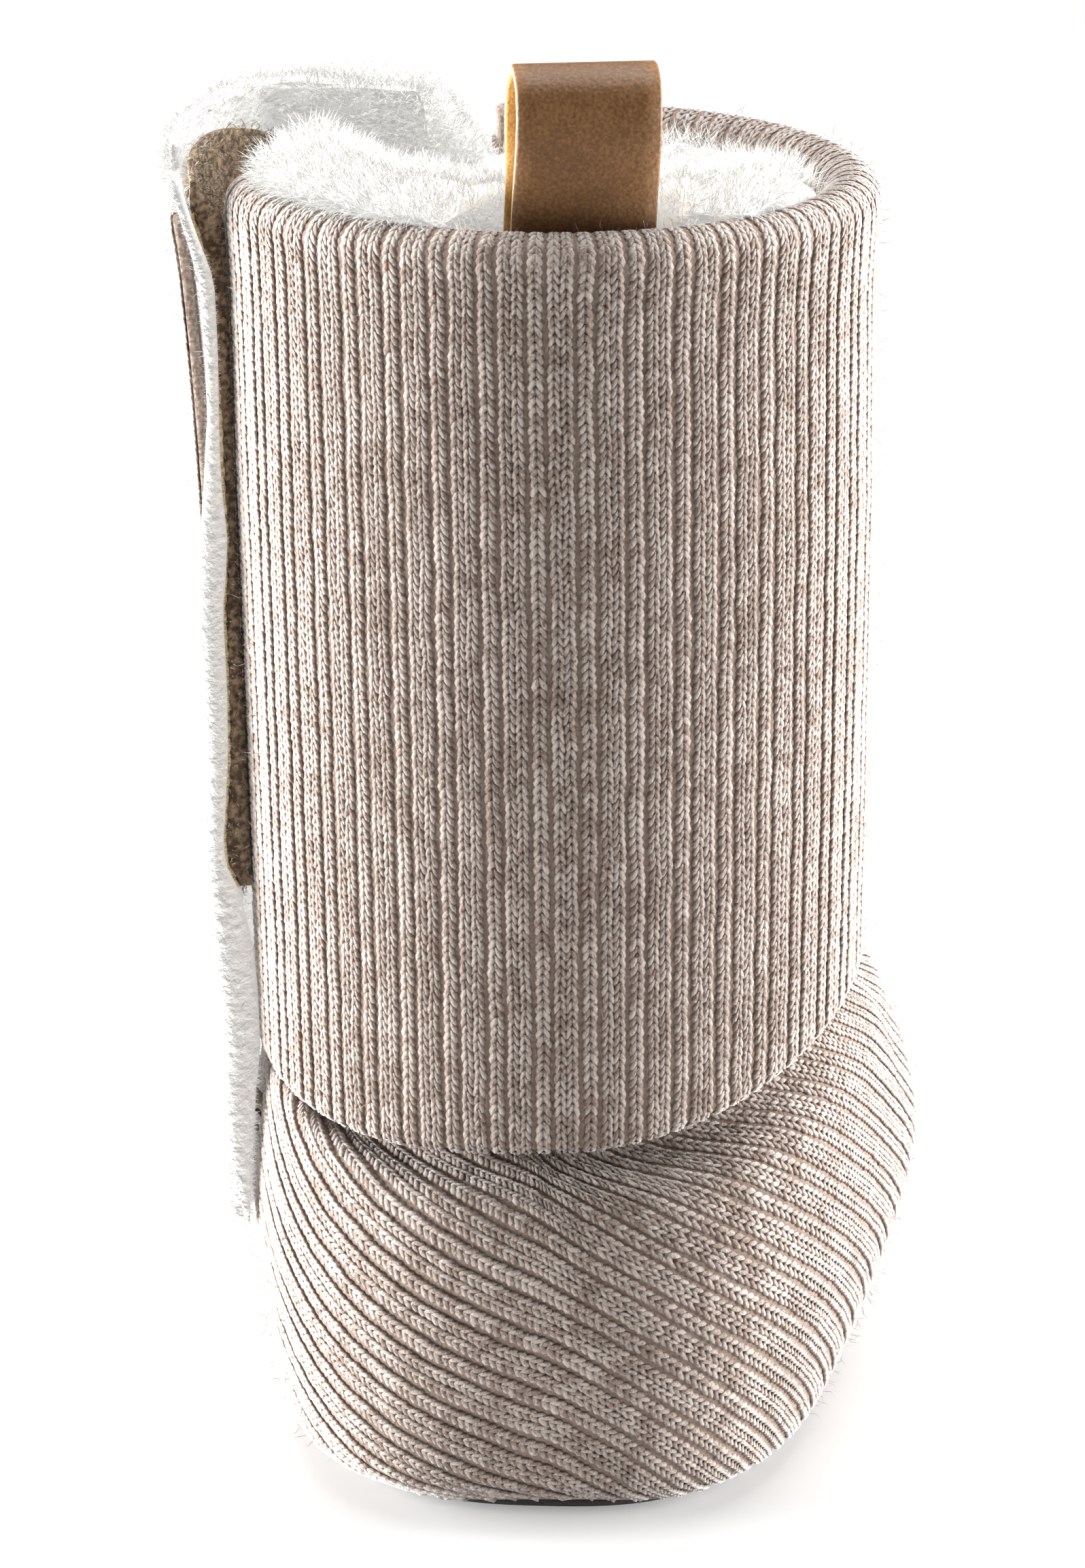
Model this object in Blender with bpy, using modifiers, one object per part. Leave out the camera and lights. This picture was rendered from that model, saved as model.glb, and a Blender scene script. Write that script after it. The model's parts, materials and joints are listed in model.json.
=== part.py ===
"""A tall knitted baby bootie with a plush lining, a side flap and a leather pull loop.

Metres, +Z up. +Y points to the toe and +X to the bootie's right, so the flap is on its left.
The origin is on the floor, on the sole's heel, under the middle of the shaft.
"""

import math
import random
from collections import namedtuple

import bmesh
import bpy
from mathutils import Vector
from mathutils.bvhtree import BVHTree

# Fits between neighbours
SEAM_GAP = 0.0003
SOFT_GAP = 0.0005

# Sole and insole
SOLE_THICKNESS = 0.0025
SOLE_EDGE_RADIUS = 0.0008
ARCH_HEIGHT = 0.0012
ARCH_START_Y = 0.006
ARCH_END_Y = 0.038
TOE_SPRING = 0.0025
TOE_SPRING_START_Y = 0.058
INSOLE_THICKNESS = 0.0030
INSOLE_INSET = 0.0045

# Upper, the foot part
UPPER_WALL = 0.0030
UPPER_COLUMNS = 56
UPPER_STEPS = 3
THROAT_TUCK = 0.0090

# Shaft
RIM_HEIGHT = 0.1735
SHAFT_WALL = 0.0032
RIM_RADIUS = 0.0040
RIM_FOLD = 2 * RIM_RADIUS
RIM_FOLD_DEPTH = 0.0120
RIM_STEPS = 6
HEM_CURL = 0.0024
SHAFT_FREE_END = math.radians(189)
SHAFT_FRONT_END = math.radians(105)
SHAFT_COLUMNS = 56
SHAFT_ROWS_UP = 9
HEM_HEEL = 0.0490
HEM_SIDE = 0.0670
HEM_INSTEP = 0.0790
HEM_LEFT_DROOP = 0.0095

# Closure flap and its fastening pad
FLAP_THICKNESS = 0.0030
FLAP_START = math.radians(105.6)
FLAP_END = math.radians(194)
FLAP_TOP_DROP = 0.0045
FLAP_FOOT_HEIGHT = 0.0330
FLAP_CORNER_RISE = 0.0160
FLAP_CORNER_START = math.radians(180)
FLAP_TAIL_START = math.radians(146)
FLAP_TAIL_END = math.radians(174)
FLAP_SWELL_START = math.radians(116)
FLAP_SWELL_END = math.radians(178)
FLAP_GAPE_START = math.radians(158)
FLAP_ROUNDING = 0.0030
FLAP_HEM_SHARE = 0.45
FLAP_HEM_TAPER = 0.0140
FLAP_GAPE = 0.0036
FLAP_FOOT_GAP = 0.0010
REACH_START = 0.2
FLAP_COLUMNS = 19
FLAP_ROWS = 14
FLAP_ROW_CROWDING = 1.6
PAD_THICKNESS = 0.0007
PAD_BOTTOM = 0.0765
PAD_START = math.radians(154)
PAD_END = math.radians(192.5)
PAD_TOP_RISE = 0.0018
PAD_CORNER_DROP = 0.0032
PAD_COLUMNS = 8
PAD_ROWS = 8

# Plush lining
PILE_COLUMNS = 68
PILE_THICKNESS = 0.0075
PILE_BELLY = 0.0190
PILE_TAPER_START = 0.0200
PILE_TAPER_END = 0.0300
PILE_LOCK = 0.0016
PILE_LOW_LOCK = 0.0004
PILE_START = math.radians(193.5)
PILE_SINK_START = math.radians(330)
PILE_SINK_END = math.radians(372)
PILE_FLAP_START = math.radians(106)
PILE_BEAD_START = math.radians(131)
PILE_BEAD_END = math.radians(185)
PILE_MORPH = math.radians(18)
PILE_RAISE_SHARE = 0.4
PILE_MOVE_SHARE = 0.7
PILE_END_SHARE = 0.5
PILE_END_COLUMNS = 2
PILE_SEED = 5
BEAD_WIDTH = 0.0030
BEAD_HEIGHT = 0.0082
BEAD_SQUARENESS = 0.7

# Pull loop, a strap of 3/4 inch leather
LOOP_WIDTH = 0.0190
LOOP_THICKNESS = 0.0015
LOOP_ANGLE = math.radians(280.5)
LOOP_SKEW = 0.0012
LOOP_POCKET = 0.0058
LOOP_POCKET_HALF_ANGLE = math.radians(19)
LOOP_POCKET_FADE = math.radians(12)
LOOP_COLUMNS = 4
LOOP_FLAT_HEIGHT = 0.0140

# Plan outline and heights of one level of the foot, from the sole's seam up to the shoulder.
# The squareness of its heel and toe is 2 for an ellipse and more for a squarer end.
Section = namedtuple(
    "Section",
    "name centre_x heel_y toe_y heel_half ball_half heel_z side_z toe_z heel_square toe_square",
)
FOOT_SECTIONS = (
    Section("feather", -0.0008, -0.0415, 0.0770, 0.0290, 0.0325, 0.003, 0.003, 0.005, 2.8, 2.4),
    Section("low bulge", -0.0020, -0.0465, 0.0845, 0.0366, 0.0404, 0.007, 0.007, 0.011, 3.1, 2.5),
    Section("widest", -0.0002, -0.0490, 0.0885, 0.0418, 0.0473, 0.027, 0.029, 0.028, 2.8, 2.5),
    Section("shoulder", 0.0000, -0.0455, 0.0660, 0.0415, 0.0418, 0.0425, 0.053, 0.053, 2.4, 2.3),
)

# Shaft centre and half sizes at a few heights
ShaftRow = namedtuple("ShaftRow", "z centre_x half_width half_depth")
SHAFT_TABLE = (
    ShaftRow(0.0500, -0.0014, 0.0406, 0.0405),
    ShaftRow(0.0900, -0.0017, 0.0417, 0.0410),
    ShaftRow(0.1300, -0.0021, 0.0427, 0.0415),
    ShaftRow(0.1600, -0.0025, 0.0431, 0.0420),
    ShaftRow(0.1760, -0.0025, 0.0440, 0.0425),
)

# The pile over the rim. Across goes from 0, at the knit, to 1, at its belly inside; up is
# from the rim.
PileStep = namedtuple("PileStep", "across up")
PILE_CREST = (
    PileStep(0.00, -0.0100),
    PileStep(0.00, -0.0045),
    PileStep(0.00, -0.0010),
    PileStep(-0.10, 0.0020),
    PileStep(0.30, 0.0050),
    PileStep(0.70, 0.0040),
    PileStep(1.00, 0.0000),
    PileStep(1.05, -0.0060),
    PileStep(0.90, -0.0120),
)
# The same steps on the right and in front, where the pile lies below the rim
PILE_CREST_SUNK = (
    PileStep(0.00, -0.0115),
    PileStep(0.00, -0.0090),
    PileStep(0.00, -0.0065),
    PileStep(0.05, -0.0048),
    PileStep(0.30, -0.0034),
    PileStep(0.70, -0.0036),
    PileStep(1.00, -0.0062),
    PileStep(1.05, -0.0100),
    PileStep(0.90, -0.0145),
)

# Middle of the pull loop's strap, seen from its side and from where it leaves the rim
LoopStep = namedtuple("LoopStep", "inward up")
LOOP_ROUTE = (
    LoopStep(0.00075, -0.0090),
    LoopStep(0.00075, 0.0010),
    LoopStep(0.00000, 0.0070),
    LoopStep(-0.00040, 0.0130),
    LoopStep(0.00100, 0.0180),
    LoopStep(0.00560, 0.0200),
    LoopStep(0.01000, 0.0175),
    LoopStep(0.01100, 0.0130),
    LoopStep(0.00830, 0.0088),
    LoopStep(0.00410, 0.0053),
    LoopStep(0.00275, 0.0000),
    LoopStep(0.00275, -0.0090),
)


def smooth(value):
    """Ease from 0 to 1."""
    value = min(max(value, 0.0), 1.0)
    return value * value * (3 - 2 * value)


def mix(low, high, share):
    return low + (high - low) * share


def signed_power(value, exponent):
    return math.copysign(abs(value) ** exponent, value)


def three_heights(heel, side, toe, along):
    """Height at along from -1, the heel, through 0, the side, to 1, the toe."""
    return side + (toe - heel) / 2 * along + ((toe + heel) / 2 - side) * along * along


def section_point(section, angle, inset=0.0):
    """Point of a foot section: angle 0 is its right side, 90 degrees its toe."""
    toe_share = smooth((1 + math.sin(angle)) / 2)
    power = 2 / mix(section.heel_square, section.toe_square, toe_share)
    along = signed_power(math.sin(angle), power)
    across = signed_power(math.cos(angle), power)
    half = mix(section.heel_half, section.ball_half, smooth((1 + along) / 2))
    middle_y = (section.toe_y + section.heel_y) / 2
    half_length = (section.toe_y - section.heel_y) / 2
    z = three_heights(section.heel_z, section.side_z, section.toe_z, along)
    x = section.centre_x + (half - inset) * across
    return Vector((x, middle_y + (half_length - inset) * along, z))


def shaft_row(z):
    """The shaft's centre and half sizes at height z."""
    if z <= SHAFT_TABLE[0].z:
        return SHAFT_TABLE[0]
    for low, high in zip(SHAFT_TABLE, SHAFT_TABLE[1:]):
        if z <= high.z:
            share = (z - low.z) / (high.z - low.z)
            return ShaftRow(*(mix(a, b, share) for a, b in zip(low, high)))
    return SHAFT_TABLE[-1]


def shaft_point(angle, z, inset=0.0):
    """Point on the shaft's outer face, or inset from it towards its centre line."""
    row = shaft_row(z)
    x = row.centre_x + (row.half_width - inset) * math.cos(angle)
    y = (row.half_depth - inset) * math.sin(angle)
    return Vector((x, y, z))


def hem_height(angle):
    """Height of the shaft's lower edge: low at the heel, higher at the instep."""
    level = three_heights(HEM_HEEL, HEM_SIDE, HEM_INSTEP, math.sin(angle))
    return level - HEM_LEFT_DROOP * max(0.0, -math.cos(angle)) ** 1.5


def curve_through(points, steps):
    """Points of a smooth curve through the given points, with so many steps a stretch."""
    ends = [2 * points[0] - points[1]] + list(points) + [2 * points[-1] - points[-2]]
    curve = []
    for before, start, end, after in zip(ends, ends[1:], ends[2:], ends[3:]):
        for step in range(steps):
            t = step / steps
            curve.append(
                0.5 * (2 * start + (end - before) * t
                       + (2 * before - 5 * start + 4 * end - after) * t * t
                       + (3 * start - before - 3 * end + after) * t ** 3)
            )
    return curve + [points[-1]]


def material(name, color, roughness):
    made = bpy.data.materials.new(name)
    made.use_nodes = True
    shader = made.node_tree.nodes["Principled BSDF"]
    shader.inputs["Base Color"].default_value = (*color, 1.0)
    shader.inputs["Roughness"].default_value = roughness
    shader.inputs["Metallic"].default_value = 0.0
    made.diffuse_color = (*color, 1.0)
    return made


def add_object(name, mesh, collection, finish):
    made = bpy.data.objects.new(name, mesh)
    collection.objects.link(made)
    mesh.materials.append(finish)
    mesh.shade_smooth()
    mesh.set_sharp_from_angle(angle=math.radians(50))
    return made


def close_ring(shape, ring):
    """Fill a ring of points with strips from its first side to its second."""
    count = len(ring)
    for place in range((count - 1) // 2):
        corners = (ring[place], ring[place + 1], ring[-2 - place], ring[-1 - place])
        shape.faces.new(list(dict.fromkeys(corners)))


def grid_mesh(name, rows, around=False, closed_section=False, caps=False):
    """Loft a mesh through rows of points.

    around joins the last row to the first, closed_section joins the ends of each row,
    and caps closes the first and last rows of a closed section.
    """
    shape = bmesh.new()
    grid = [[shape.verts.new(point) for point in row] for row in rows]
    row_pairs = list(zip(grid, grid[1:]))
    if around:
        row_pairs.append((grid[-1], grid[0]))
    for low, high in row_pairs:
        count = len(low) if closed_section else len(low) - 1
        for place in range(count):
            after = (place + 1) % len(low)
            shape.faces.new((low[place], low[after], high[after], high[place]))
    if caps:
        close_ring(shape, grid[0])
        close_ring(shape, grid[-1])
    mesh = bpy.data.meshes.new(name)
    shape.to_mesh(mesh)
    shape.free()
    return mesh


def turn_outwards(mesh):
    """Make a closed mesh's faces point out."""
    shape = bmesh.new()
    shape.from_mesh(mesh)
    bmesh.ops.recalc_face_normals(shape, faces=shape.faces)
    shape.to_mesh(mesh)
    shape.free()
    return mesh


def thicken(made, thickness):
    """Give an open surface its wall, on the side away from its normals."""
    wall = made.modifiers.new("wall", "SOLIDIFY")
    wall.thickness = thickness
    wall.offset = -1.0
    wall.use_even_offset = True


def slab_mesh(name, section, levels, floor_shape):
    """A flat piece with a foot outline: levels are (inset, height) pairs from bottom to top.

    The top and bottom are strips from left to right, so they can bend along the foot.
    """
    half_count = UPPER_COLUMNS // 2
    step = math.pi / half_count
    angles = [-math.pi / 2 + step * (place + 0.5) for place in range(half_count)]
    angles += [math.pi - angle for angle in reversed(angles)]
    shape = bmesh.new()
    rings = []
    for inset, height in levels:
        ring = []
        for angle in angles:
            point = section_point(section, angle, inset)
            point.z = height + floor_shape(point.y)
            ring.append(shape.verts.new(point))
        rings.append(ring)
    count = len(angles)
    for low, high in zip(rings, rings[1:]):
        for place in range(count):
            after = (place + 1) % count
            shape.faces.new((low[place], low[after], high[after], high[place]))
    close_ring(shape, rings[0])
    close_ring(shape, rings[-1])
    mesh = bpy.data.meshes.new(name)
    shape.to_mesh(mesh)
    shape.free()
    return turn_outwards(mesh)


def underside(y):
    """Height of the sole's underside: flat at heel and ball, raised at the arch and the toe."""
    arch_share = (y - ARCH_START_Y) / (ARCH_END_Y - ARCH_START_Y)
    arch = ARCH_HEIGHT * math.sin(math.pi * arch_share) ** 2 if 0 < arch_share < 1 else 0.0
    toe_y = FOOT_SECTIONS[0].toe_y
    spring_share = max(0.0, (y - TOE_SPRING_START_Y) / (toe_y - TOE_SPRING_START_Y))
    return arch + TOE_SPRING * spring_share ** 2


def make_sole(collection):
    edge = SOLE_EDGE_RADIUS
    levels = (
        (edge, 0.0),
        (0.0, edge),
        (0.0, SOLE_THICKNESS - edge),
        (edge, SOLE_THICKNESS),
    )
    mesh = slab_mesh("sole", FOOT_SECTIONS[0], levels, underside)
    add_object("sole", mesh, collection, material("sole grip", (0.045, 0.043, 0.042), 0.8))


def make_insole(collection):
    low = SOLE_THICKNESS + SEAM_GAP
    high = low + INSOLE_THICKNESS
    levels = (
        (INSOLE_INSET, low),
        (INSOLE_INSET, high - SOLE_EDGE_RADIUS),
        (INSOLE_INSET + SOLE_EDGE_RADIUS, high),
    )
    mesh = slab_mesh("insole", FOOT_SECTIONS[0], levels, underside)
    add_object("insole", mesh, collection, material("insole fleece", (0.86, 0.84, 0.80), 0.9))


def upper_profile(angle):
    """The foot part's outer face at one angle, from the sole's seam up into the shaft."""
    points = [section_point(section, angle) for section in FOOT_SECTIONS]
    points[0] = section_point(FOOT_SECTIONS[0], angle, SOLE_EDGE_RADIUS)
    points[0].z = SOLE_THICKNESS + SOFT_GAP + underside(points[0].y)
    hem = hem_height(angle)
    inset = SHAFT_WALL + SOFT_GAP
    points.append(shaft_point(angle, hem - SOFT_GAP, inset))
    points[-1].z = hem - SOFT_GAP
    points.append(shaft_point(angle, hem + THROAT_TUCK, inset))
    return curve_through(points, UPPER_STEPS)


def make_upper(collection):
    step = 2 * math.pi / UPPER_COLUMNS
    columns = [upper_profile(step * place) for place in range(UPPER_COLUMNS)]
    mesh = grid_mesh("upper", columns, around=True)
    mesh.flip_normals()
    made = add_object("upper", mesh, collection, material("foot knit", (0.42, 0.36, 0.32), 0.9))
    thicken(made, UPPER_WALL)
    return made


def shaft_section(angle):
    """Closed wall section of the shaft at one angle: a curled hem, a wall and a rolled rim."""
    hem = hem_height(angle)
    wall_start = hem + HEM_CURL
    wall_end = RIM_HEIGHT - RIM_RADIUS
    section = []
    for step in range(SHAFT_ROWS_UP + 1):
        section.append(shaft_point(angle, mix(wall_start, wall_end, step / SHAFT_ROWS_UP)))
    for step in range(1, RIM_STEPS):
        turn = math.pi * step / RIM_STEPS
        inset = RIM_RADIUS * (1 - math.cos(turn))
        section.append(shaft_point(angle, wall_end + RIM_RADIUS * math.sin(turn), inset))
    fold_end = RIM_HEIGHT - RIM_FOLD_DEPTH
    section.append(shaft_point(angle, wall_end, RIM_FOLD))
    section.append(shaft_point(angle, fold_end + RIM_RADIUS, RIM_FOLD))
    section.append(shaft_point(angle, fold_end, (RIM_FOLD + SHAFT_WALL) / 2))
    inner_top = fold_end - RIM_RADIUS
    for step in range(SHAFT_ROWS_UP):
        z = mix(inner_top, wall_start, step / (SHAFT_ROWS_UP - 1))
        section.append(shaft_point(angle, z, SHAFT_WALL))
    section += [shaft_point(angle, hem, SHAFT_WALL * share) for share in (0.7, 0.3)]
    return section


def make_shaft(collection):
    span = SHAFT_FRONT_END + 2 * math.pi - SHAFT_FREE_END
    rows = []
    for place in range(SHAFT_COLUMNS + 1):
        angle = SHAFT_FREE_END + span * place / SHAFT_COLUMNS
        rows.append(shaft_section(angle))
    mesh = turn_outwards(grid_mesh("shaft", rows, closed_section=True, caps=True))
    add_object("shaft", mesh, collection, material("shaft knit", (0.44, 0.38, 0.34), 0.9))


def foot_surface(upper):
    """A function for how far the foot part reaches from the shaft's axis, 0 where it doesn't."""
    tree = BVHTree.FromPolygons(
        [vertex.co.copy() for vertex in upper.data.vertices],
        [tuple(face.vertices) for face in upper.data.polygons],
    )

    def reach(start, direction):
        far = start + direction * REACH_START
        hit = tree.ray_cast(far, -direction, REACH_START)
        return 0.0 if hit[0] is None else (hit[0] - start).length

    return reach


def flap_bottom(angle):
    """Height of the flap's lower edge: on the hem line in front, down over the foot behind."""
    share = smooth((angle - FLAP_TAIL_START) / (FLAP_TAIL_END - FLAP_TAIL_START))
    corner = max(0.0, (angle - FLAP_CORNER_START) / (FLAP_END - FLAP_CORNER_START))
    return mix(hem_height(angle), FLAP_FOOT_HEIGHT, share) + FLAP_CORNER_RISE * corner ** 2


def flap_wall_share(angle, z):
    """The flap's thickness as a share of the full one: it thins towards its lower edge."""
    height = z - flap_bottom(angle)
    tail = smooth((angle - FLAP_TAIL_START) / (FLAP_TAIL_END - FLAP_TAIL_START))
    return mix(1.0, mix(FLAP_HEM_SHARE, 1.0, smooth(height / FLAP_HEM_TAPER)), tail)


def flap_clearance(angle, z):
    """How far the flap's inner face stands outside the shaft's outer face.

    In front the flap's outer face carries on from the shaft's. Behind, the flap passes over
    the shaft's free end, with room for the pad, and it gapes at the top of its free edge.
    """
    pad_room = SEAM_GAP + PAD_THICKNESS + SOFT_GAP
    height_share = smooth((z - HEM_HEEL) / (PAD_BOTTOM - HEM_HEEL))
    behind = mix(SOFT_GAP, pad_room, height_share)
    swell = smooth((angle - FLAP_SWELL_START) / (FLAP_SWELL_END - FLAP_SWELL_START))
    edge_share = smooth((angle - FLAP_GAPE_START) / (FLAP_END - FLAP_GAPE_START))
    top_share = max(0.0, (z - PAD_BOTTOM) / (RIM_HEIGHT - PAD_BOTTOM))
    return mix(-FLAP_THICKNESS, behind, swell) + FLAP_GAPE * edge_share * top_share ** 3


def flap_point(angle, z, reach, inset=0.0):
    """Point on the flap's inner face, or inset from it: clear of both the shaft and the foot."""
    base = shaft_point(angle, z)
    centre = Vector((shaft_row(z).centre_x, 0.0, z))
    direction = (base - centre).normalized()
    over_foot = reach(centre, direction) + FLAP_FOOT_GAP
    over_shaft = (base - centre).length + flap_clearance(angle, z)
    wider = max(over_foot, over_shaft)
    difference = abs(over_foot - over_shaft)
    rounding = 0.25 * max(0.0, FLAP_ROUNDING - difference) ** 2 / FLAP_ROUNDING
    return centre + direction * (wider + rounding - inset)


def make_flap(collection, reach):
    top = RIM_HEIGHT - FLAP_TOP_DROP
    columns = []
    shares = []
    for place in range(FLAP_COLUMNS + 1):
        angle = mix(FLAP_START, FLAP_END, place / FLAP_COLUMNS)
        bottom = flap_bottom(angle)
        heights = [
            mix(bottom, top, (step / FLAP_ROWS) ** FLAP_ROW_CROWDING)
            for step in range(FLAP_ROWS + 1)
        ]
        columns.append([flap_point(angle, z, reach) for z in heights])
        shares += [flap_wall_share(angle, z) for z in heights]
    mesh = grid_mesh("closure_flap", columns)
    mesh.flip_normals()
    finish = material("flap knit", (0.44, 0.38, 0.34), 0.9)
    made = add_object("closure_flap", mesh, collection, finish)
    thicken(made, FLAP_THICKNESS)
    made.modifiers["wall"].offset = 1.0
    thickness = made.vertex_groups.new(name="thickness")
    for index, share in enumerate(shares):
        thickness.add([index], share, "REPLACE")
    made.modifiers["wall"].vertex_group = thickness.name


def make_pad(collection, reach):
    """The fuzzy patch inside the flap. It stands a little above the flap's knitted top edge."""
    columns = []
    for place in range(PAD_COLUMNS + 1):
        share = place / PAD_COLUMNS
        angle = mix(PAD_START, PAD_END, share)
        top = RIM_HEIGHT + PAD_TOP_RISE - PAD_CORNER_DROP * (2 * share - 1) ** 2
        heights = [mix(PAD_BOTTOM, top, step / PAD_ROWS) for step in range(PAD_ROWS + 1)]
        columns.append([flap_point(angle, z, reach, SOFT_GAP) for z in heights])
    mesh = grid_mesh("fastening_pad", columns)
    mesh.flip_normals()
    finish = material("loop tape", (0.16, 0.11, 0.075), 0.95)
    made = add_object("fastening_pad", mesh, collection, finish)
    thicken(made, PAD_THICKNESS)


def plain_pile(angle):
    """Pile section behind the knit, as (inset from the shaft's face, height) pairs."""
    past_strap = abs(angle - LOOP_ANGLE) - LOOP_POCKET_HALF_ANGLE
    pocket = LOOP_POCKET * smooth(1.0 - past_strap / LOOP_POCKET_FADE)
    wall = SHAFT_WALL + SEAM_GAP
    inner = wall + PILE_THICKNESS
    face = RIM_FOLD + SEAM_GAP + pocket
    bottom = hem_height(angle) + THROAT_TUCK + 3 * SOFT_GAP
    wall_top = RIM_HEIGHT - RIM_FOLD_DEPTH - RIM_RADIUS
    taper_end = RIM_HEIGHT - PILE_TAPER_END
    section = [(wall, bottom), (wall, mix(bottom, wall_top, 0.5)), (wall, wall_top)]
    sunk = smooth((angle - PILE_SINK_START) / (PILE_SINK_END - PILE_SINK_START))
    for high, low in zip(PILE_CREST, PILE_CREST_SUNK):
        across = mix(high.across, low.across, sunk)
        up = mix(high.up, low.up, sunk)
        section.append((mix(face, PILE_BELLY, across), RIM_HEIGHT + up))
    section.append((mix(inner, PILE_BELLY, 0.5), RIM_HEIGHT - PILE_TAPER_START))
    section += [(inner, taper_end), (inner, mix(bottom, taper_end, 0.5)), (inner, bottom)]
    return section


def flap_pile(angle):
    """Pile section behind the flap and over its top edge."""
    section = plain_pile(angle)
    top = RIM_HEIGHT - FLAP_TOP_DROP
    for place in range(4):
        z = section[place][1]
        clearance = flap_clearance(min(angle, FLAP_GAPE_START), z)
        section[place] = (2 * SOFT_GAP - clearance, z)
    inner = -flap_clearance(angle, top)
    outer = inner - FLAP_THICKNESS
    crest = RIM_HEIGHT + PILE_CREST[4].up
    section[4] = (inner + SOFT_GAP, top + SOFT_GAP)
    section[5] = (outer + SOFT_GAP, top + SOFT_GAP)
    section[6] = (outer, mix(top, crest, 0.7))
    section[7] = (mix(outer, inner, 0.6), crest)
    return section


def bead_pile(angle):
    """Pile section past the lining's end: only a bead along the flap's top edge."""
    top = RIM_HEIGHT - FLAP_TOP_DROP
    count = len(plain_pile(angle))
    section = []
    for place in range(count):
        turn = 2 * math.pi * place / count
        across = 1 - signed_power(math.sin(turn), BEAD_SQUARENESS)
        rise = 1 - signed_power(math.cos(turn), BEAD_SQUARENESS)
        z = top + SOFT_GAP + BEAD_HEIGHT * rise / 2
        outer = -flap_clearance(angle, z) - FLAP_THICKNESS
        section.append((outer + BEAD_WIDTH * across / 2, z))
    return section


def blend_sections(first, second, inset_share, height_share):
    return [
        (mix(a[0], b[0], inset_share), mix(a[1], b[1], height_share))
        for a, b in zip(first, second)
    ]


def pile_section(angle):
    """The pile's closed section at any angle round the shaft.

    At the flap it first rises above the flap's top edge and only then moves out over it.
    """
    section = plain_pile(angle)
    flap_angle = angle - 2 * math.pi
    for start, next_pile in ((PILE_FLAP_START, flap_pile), (PILE_BEAD_START, bead_pile)):
        if flap_angle > start:
            share = (flap_angle - start) / PILE_MORPH
            raised = smooth(share / PILE_RAISE_SHARE)
            moved = smooth((share - PILE_MOVE_SHARE) / (1 - PILE_MOVE_SHARE))
            section = blend_sections(section, next_pile(flap_angle), moved, raised)
    return section


def make_lining(collection):
    """The deep pile: a ring that is open at the closure, with locks raised out of its face."""
    chance = random.Random(PILE_SEED)
    rows = []
    for place in range(PILE_COLUMNS + 1):
        angle = mix(PILE_START, PILE_BEAD_END + 2 * math.pi, place / PILE_COLUMNS)
        section = pile_section(angle)
        from_end = min(place, PILE_COLUMNS - place)
        size = mix(PILE_END_SHARE, 1.0, min(1.0, from_end / PILE_END_COLUMNS))
        middle_inset = sum(inset for inset, _ in section) / len(section)
        has_locks = angle < PILE_BEAD_START + 2 * math.pi
        row = []
        for index, (inset, z) in enumerate(section):
            lock = 0.0
            if has_locks and 6 < index < len(section) - 1:
                is_tall = (index + place) % 2 == 1
                height = PILE_LOCK if is_tall else PILE_LOW_LOCK
                lock = height * chance.uniform(-0.2, 1.0)
            inset = mix(middle_inset, inset, size)
            if index < 9:
                row.append(shaft_point(angle, z + lock, inset))
            else:
                row.append(shaft_point(angle, z, inset + lock))
        rows.append(row)
    mesh = turn_outwards(grid_mesh("plush_lining", rows, closed_section=True, caps=True))
    finish = material("white pile", (0.93, 0.92, 0.90), 0.95)
    add_object("plush_lining", mesh, collection, finish)


def make_pull_loop(collection):
    """A flat strap folded over, with both ends sewn down behind the rolled rim."""
    route = [Vector((0.0, step.inward, step.up)) for step in LOOP_ROUTE]
    path = curve_through(route, 2)
    rim_radius = SHAFT_TABLE[-1].half_depth - RIM_FOLD
    rows = []
    for step in range(LOOP_COLUMNS + 1):
        x = LOOP_WIDTH * (step / LOOP_COLUMNS - 0.5)
        row = []
        for place, point in enumerate(path):
            skew = LOOP_SKEW * smooth(place / (len(path) - 1))
            bow = x * x / (2 * rim_radius) * (1 - smooth(point.z / LOOP_FLAT_HEIGHT))
            row.append(Vector((x - skew, point.y + bow, point.z)))
        rows.append(row)
    mesh = grid_mesh("pull_loop", rows)
    made = add_object("pull_loop", mesh, collection, material("tan leather", (0.30, 0.17, 0.09), 0.5))
    thicken(made, LOOP_THICKNESS)
    made.modifiers["wall"].offset = 0.0
    made.location = shaft_point(LOOP_ANGLE, RIM_HEIGHT, RIM_FOLD + 2 * SEAM_GAP)
    made.rotation_euler.z = LOOP_ANGLE - math.radians(270)


def main():
    for old in list(bpy.data.objects):
        bpy.data.objects.remove(old, do_unlink=True)
    collection = bpy.data.collections.new("knitted baby bootie")
    bpy.context.scene.collection.children.link(collection)
    make_sole(collection)
    make_insole(collection)
    upper = make_upper(collection)
    make_shaft(collection)
    reach = foot_surface(upper)
    make_flap(collection, reach)
    make_pad(collection, reach)
    make_lining(collection)
    make_pull_loop(collection)


main()
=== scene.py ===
# %% [markdown]
# # A knitted baby bootie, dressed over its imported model
#
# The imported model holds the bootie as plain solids: sole, insole, foot part, shaft, flap,
# fastening pad, plush lining and pull loop. This lesson gives them what makes the real
# thing: ribbed knitting with every stitch as a small mesh, pile with every strand, curly
# loop tape, leather with a raw edge. All sizes are in metres, +Z is up and +Y is the toe.

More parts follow.
